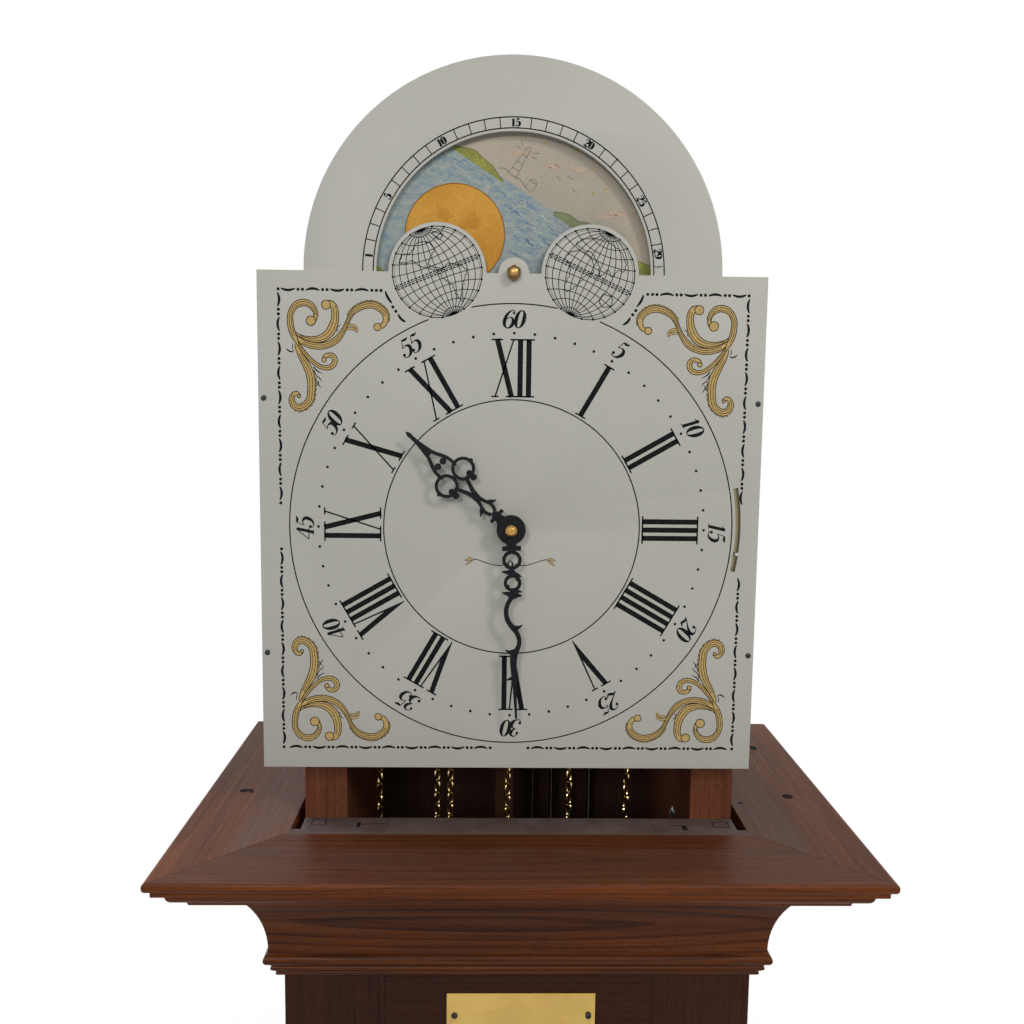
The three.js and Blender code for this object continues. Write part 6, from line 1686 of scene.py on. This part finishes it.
for half_turn in (0, 1):
    shore = math.sqrt(PAINT_R ** 2 - HORIZON ** 2)
    rise = math.degrees(math.atan2(HORIZON, shore))
    rim = arc((0, 0), PAINT_R, rise, 180 - rise, 70)
    sky.append(flat_patch(on_scene(rim, half_turn), SKY_LAYER))
    far, near = hill_line(0, 52, FAR_BASE, FAR_HILLS), hill_line(-66, 66, NEAR_BASE, NEAR_HILLS)
    put_land(far_land, far, far[:, 0] >= 0, FAR_BASE, half_turn, FAR_LAYER, 0.13)
    for shown in (near[:, 0] < -30, near[:, 0] > 36):
        put_land(near_land, near, shown, NEAR_BASE, half_turn, NEAR_LAYER, 0.15)
    for u, v, width in CLOUDS:
        for lift, share in CLOUD_ROWS:
            t = np.linspace(-1, 1, 12)
            line = np.stack([u + t * width / 2 * share + lift, v + lift + 0.10 * t * width,
                             0.42 * (1.05 - t ** 2)], 1)
            puff = on_scene(line, half_turn)
            cloud.append(stroke(puff, DISC_FRONT - LAYER * WAVE_LAYER, DISC_FRONT + LAYER))
    for line in LIGHTHOUSE:
        pencil.append(brush(line, half_turn, PENCIL_LAYER, 0.13))
    for u, v in BIRDS:
        wings = [(u - 1.6, v + 0.7), (u - 0.6, v + 0.9), (u, v), (u + 0.6, v + 0.9), (u + 1.6, v + 0.7)]
        pencil.append(brush(wings, half_turn, PENCIL_LAYER, 0.1))
    for u, v in STARS:
        for angle in (0, 45, 90, 135):
            reach = 1.1 if angle % 90 == 0 else 0.6
            tip = reach * np.array([math.cos(math.radians(angle)), math.sin(math.radians(angle))])
            gold_dots.append(brush([(u, v) - tip, (u, v) + tip], half_turn, STAR_LAYER, 0.12))
    for _ in range(WAVES):
        u, v = dice.uniform(-60, 60), dice.uniform(4, HORIZON - 2.5)
        length = dice.uniform(2.5, 8.0)
        clear = min(math.hypot(u - MOON_SPOT_OUT, v), math.hypot(u + MOON_SPOT_OUT, v)) > MOON_SPOT_R + 5
        if clear and math.hypot(abs(u) + length, v) < PAINT_R - 1:
            t = np.linspace(-1, 1, 9)
            line = np.stack([u + t * length / 2, v + 0.3 * np.sin(t * 4 + u)], 1)
            waves = wave_blue if dice.random() < 0.6 else wave_pale
            waves.append(brush(line, half_turn, WAVE_LAYER, dice.uniform(0.08, 0.2)))
paint_disc("painted_sea", sea, "sea_wash", (0.36, 0.38, 0.32, 1), (0.16, 0.24, 0.30, 1), (160, 90, 320))
paint_disc("painted_sky", sky, "sky_wash", (0.43, 0.37, 0.29, 1), (0.33, 0.31, 0.26, 1), (22, 22, 22))
paint_disc("painted_far_hills", far_land, "far_hill_wash", (0.25, 0.27, 0.14, 1), (0.13, 0.17, 0.09, 1))
paint_disc("painted_near_hills", near_land, "near_hill_wash", (0.34, 0.31, 0.07, 1), (0.14, 0.19, 0.06, 1))
paint_disc("painted_clouds", cloud, "cloud_wash", (0.52, 0.38, 0.28, 1), (0.44, 0.33, 0.26, 1))
paint_disc("painted_stars", gold_dots, "star_wash", (0.62, 0.44, 0.14, 1), (0.50, 0.33, 0.09, 1))
paint_disc("painted_blue_waves", wave_blue, "blue_wash", (0.16, 0.26, 0.40, 1), (0.08, 0.16, 0.30, 1))
paint_disc("painted_pale_waves", wave_pale, "pale_wash", (0.44, 0.46, 0.40, 1), (0.36, 0.40, 0.36, 1))
paint_disc("pencil_marks", pencil, "pencil_grey", (0.19, 0.16, 0.13, 1), (0.10, 0.085, 0.07, 1))
paint_disc("painted_ridges", ridge, "ridge_wash", (0.10, 0.10, 0.06, 1), (0.05, 0.06, 0.03, 1))

moons, moon_rims, moon_seas = [], [], []
MOON_SEAS = [(-8, 7, 6, 4, 20), (6, 11, 5, 3, -30), (10, -3, 6, 5, 50), (-4, -9, 8, 4, -10),
             (-15, -4, 3, 4, 0)]
for side in (-1, 1):
    middle = on_scene(np.array([[side * MOON_SPOT_OUT, 0.0]]), 0)[0]
    moons.append(flat_patch(circle(MOON_SPOT_R, *middle, 96), PENCIL_LAYER))
    rim = even(circle(MOON_SPOT_R - 0.2, *middle, 96), 0.28)
    moon_rims.append(stroke(rim, DISC_FRONT - LAYER * MOON_RIM_LAYER, DISC_FRONT + LAYER, closed=True))
    for u, v, long, short, lean in MOON_SEAS:
        t = np.radians(np.arange(0, 360, 12))
        wobble = 1 + 0.16 * np.sin(3 * t + u) + 0.10 * np.cos(5 * t + v)
        oval = spun(np.stack([long * np.cos(t) * wobble, short * np.sin(t) * wobble], 1), lean)
        moon_seas.append(flat_patch(oval + (u * side, v) + middle, MOON_SEA_LAYER))
paint_disc("gold_moons", moons, "moon_wash", (0.60, 0.32, 0.060, 1), (0.46, 0.215, 0.030, 1), (30, 30, 30))
paint_disc("gold_moon_seas", moon_seas, "moon_sea_wash", (0.56, 0.28, 0.050, 1), (0.44, 0.195, 0.028, 1))
paint_disc("gold_moon_rims", moon_rims, "moon_rim_wash", (0.30, 0.12, 0.02, 1), (0.20, 0.08, 0.015, 1))

stud_brass = brass("stud_brass", (0.42, 0.26, 0.10, 1), 0.36, tarnish=0.6)
eased("moon_arbor", "case", "polished_brass", stud_brass, width=0.15)

# The hands: sawn from steel sheet with a piercing saw, filed to rings, balls and leaves, and
# blacked. Each is drawn upright, as [across, along, half width] in millimetres from the hub.
hand_black = two_toned("hand_black", 700, 3.0, 0.5,
                       [(0.3, (0.005, 0.005, 0.007, 1)), (0.8, (0.013, 0.013, 0.016, 1))], 0.34, 0.2,
                       Specular_IOR_Level=0.09)
HAND_SHEET = 1.25
HAND_FULLNESS = 0.12
HAND_ANGLE = math.radians(40)
PART_STEP = 0.006
HOUR_FRONT, MINUTE_FRONT = -70.80, -74.30
HOUR_ANGLE, MINUTE_ANGLE = -47.55, 177.8
HAND_HUB_R = 8.0
HOUR_BORE, MINUTE_BORE = 4.2, 2.6
HOUR_BLADE = [(0, 60.5, 2.6), (0, 62.5, 2.3), (0, 66, 1.7), (0, 70, 1.15), (0, 74, 0.95), (0, 76.5, 1.05),
              (0, 78.6, 0.15)]
HOUR_PAIRS = [
    [(1.3, 62.0, 0.9), (2.6, 58.6, 0.85), (4.3, 54.8, 0.85), (5.3, 51.5, 0.8), (5.4, 48.2, 0.8),
     (4.9, 46.4, 0.7)],
    [(5.3, 51.6, 0.5), (4.4, 53.0, 0.7), (3.3, 53.2, 0.7)],
    [(2.0, 38.8, 0.8), (3.6, 36.8, 0.85), (2.6, 33.6, 0.95), (1.4, 30.4, 1.05), (0.85, 27.0, 1.1),
     (0.9, 24.2, 0.95), (1.8, 21.0, 0.8), (2.7, 18.2, 0.8), (2.5, 15.8, 0.8), (1.5, 13.6, 0.9)],
    [(5.3, 37.9, 0.8), (3.9, 36.6, 0.85), (3.0, 34.8, 0.7)],
    [(2.2, 20.4, 0.6), (3.6, 18.9, 1.0), (5.0, 17.8, 0.6), (6.6, 17.3, 0.08)],
]
HOUR_RINGS = [(6.6, 42.2, 5.7, 0.92)]
HOUR_BALLS = [(2.0, 53.0, 1.85), (7.1, 38.0, 1.75), (7.1, 34.9, 1.85), (12.9, 42.2, 1.15)]
HOUR_NECK = [(0, 7.6, 2.8), (0, 9.6, 2.2), (0, 12.2, 2.1), (0, 14.0, 0.8)]
HOUR_COLLAR = [(-4.7, 10.8, 0.9), (4.7, 10.8, 0.9)]

MINUTE_STEM = [
    (-0.2, 36.4, 1.6), (1.6, 38.8, 1.15), (3.4, 42.4, 1.15), (4.0, 46.6, 1.2), (3.1, 50.6, 1.25),
    (0.9, 54.2, 1.3), (-1.5, 57.4, 1.2), (-2.7, 60.8, 1.15), (-2.7, 64.2, 1.1), (-1.4, 67.4, 1.3),
    (0.2, 70.4, 1.9), (0.7, 75, 1.7), (0.6, 82, 1.35), (0.4, 88, 1.0), (0.2, 98, 0.75), (0, 106.6, 0.5)]
MINUTE_LEAVES = [
    [(1.2, 54.2, 1.3), (-1.4, 54.8, 1.1), (-3.2, 54.3, 0.6), (-4.9, 53.2, 0.08)],
    [(-1.4, 67.6, 1.2), (1.4, 68.6, 1.3), (3.2, 68.2, 0.7), (4.9, 67.0, 0.08)],
    [(0.8, 84.0, 1.0), (2.4, 83.6, 0.7), (4.6, 84.4, 0.08)],
    [(-0.4, 37.0, 1.4), (-2.4, 36.4, 1.1), (-5.0, 36.9, 0.1)],
    [(0.4, 36.8, 1.4), (2.6, 35.4, 1.1), (6.0, 34.8, 0.1)],
    [(-1.8, 34.8, 0.9), (-3.4, 34.2, 0.6), (-5.2, 34.6, 0.08)],
    [(0.0, 23.6, 1.6), (2.4, 23.4, 1.1), (5.8, 22.8, 0.1)],
    [(0.0, 24.4, 1.4), (-2.6, 25.0, 1.0), (-5.2, 26.0, 0.1)],
]
MINUTE_RINGS = [(0, 29.4, 3.95, 0.95), (0, 16.6, 4.4, 1.0)]
MINUTE_BALLS = [(2.6, 31.2, 1.0), (-2.6, 27.6, 0.9), (0.0, 24.0, 2.0), (0.0, 35.0, 1.7)]
MINUTE_NECK = [(0, 7.6, 2.8), (0, 9.4, 2.2), (0, 12.6, 2.0)]
MINUTE_COLLAR = [(-5.2, 10.1, 1.15), (5.2, 10.1, 1.15)]


def sheet_hand(name, body, degrees, front, lines, rings, balls, bore):
    """A hand from variable strokes, rings [x, z, radius, half width] and round spots, turned
    clockwise about the hub by the degrees. Its parts run into one another."""
    parts = []

    def next_faces():
        """Each part is a hair thinner than the last one, so that no two faces coincide."""
        inset = PART_STEP * len(parts)
        return front + inset, front + HAND_SHEET - inset

    for line in lines:
        path = spaced(line, 8 * len(line))
        path[:, 2] += HAND_FULLNESS
        parts.append(stroke(path, *next_faces()))
    for x, z, radius, half in rings:
        parts.append(stroke(even(circle(radius, x, z, 56), half), *next_faces(), closed=True))
    for x, z, radius in balls:
        parts.append(dot(x, z, radius, 32, *next_faces()))
    hub = even(circle((HAND_HUB_R + bore) / 2, count=72), (HAND_HUB_R - bore) / 2)
    parts.append(stroke(hub, front, front + HAND_SHEET, closed=True))
    points, faces = joined([on_ring(part, 0, degrees) for part in parts])
    points = points + np.array([DIAL_X, 0, HUB_Z])
    piece = fit_piece(name, (points, faces), body, "hand_black", hand_black, body + "_hand",
                      angle=HAND_ANGLE)
    round_edges(piece, "filed_edges", 0.12, 1, 50)


def flipped(marks):
    """The mirror image of points, rings or balls across the hand."""
    return [(-x, *rest) for x, *rest in marks]


hour_lines = [HOUR_BLADE, HOUR_NECK, HOUR_COLLAR]
hour_lines += [one for line in HOUR_PAIRS for one in (line, flipped(line))]
sheet_hand("hour_hand_sheet", "hour", HOUR_ANGLE, HOUR_FRONT, hour_lines, HOUR_RINGS + flipped(HOUR_RINGS),
           HOUR_BALLS + flipped(HOUR_BALLS), HOUR_BORE)
minute_lines = [MINUTE_STEM, MINUTE_NECK, MINUTE_COLLAR, *MINUTE_LEAVES]
sheet_hand("minute_hand_sheet", "minute", MINUTE_ANGLE, MINUTE_FRONT, minute_lines, MINUTE_RINGS,
           MINUTE_BALLS, MINUTE_BORE)
nut_brass = brass("nut_brass", (0.50, 0.31, 0.10, 1), 0.30, tarnish=0.5)
eased("hand_nut", "minute", "polished_brass", nut_brass, width=0.2)
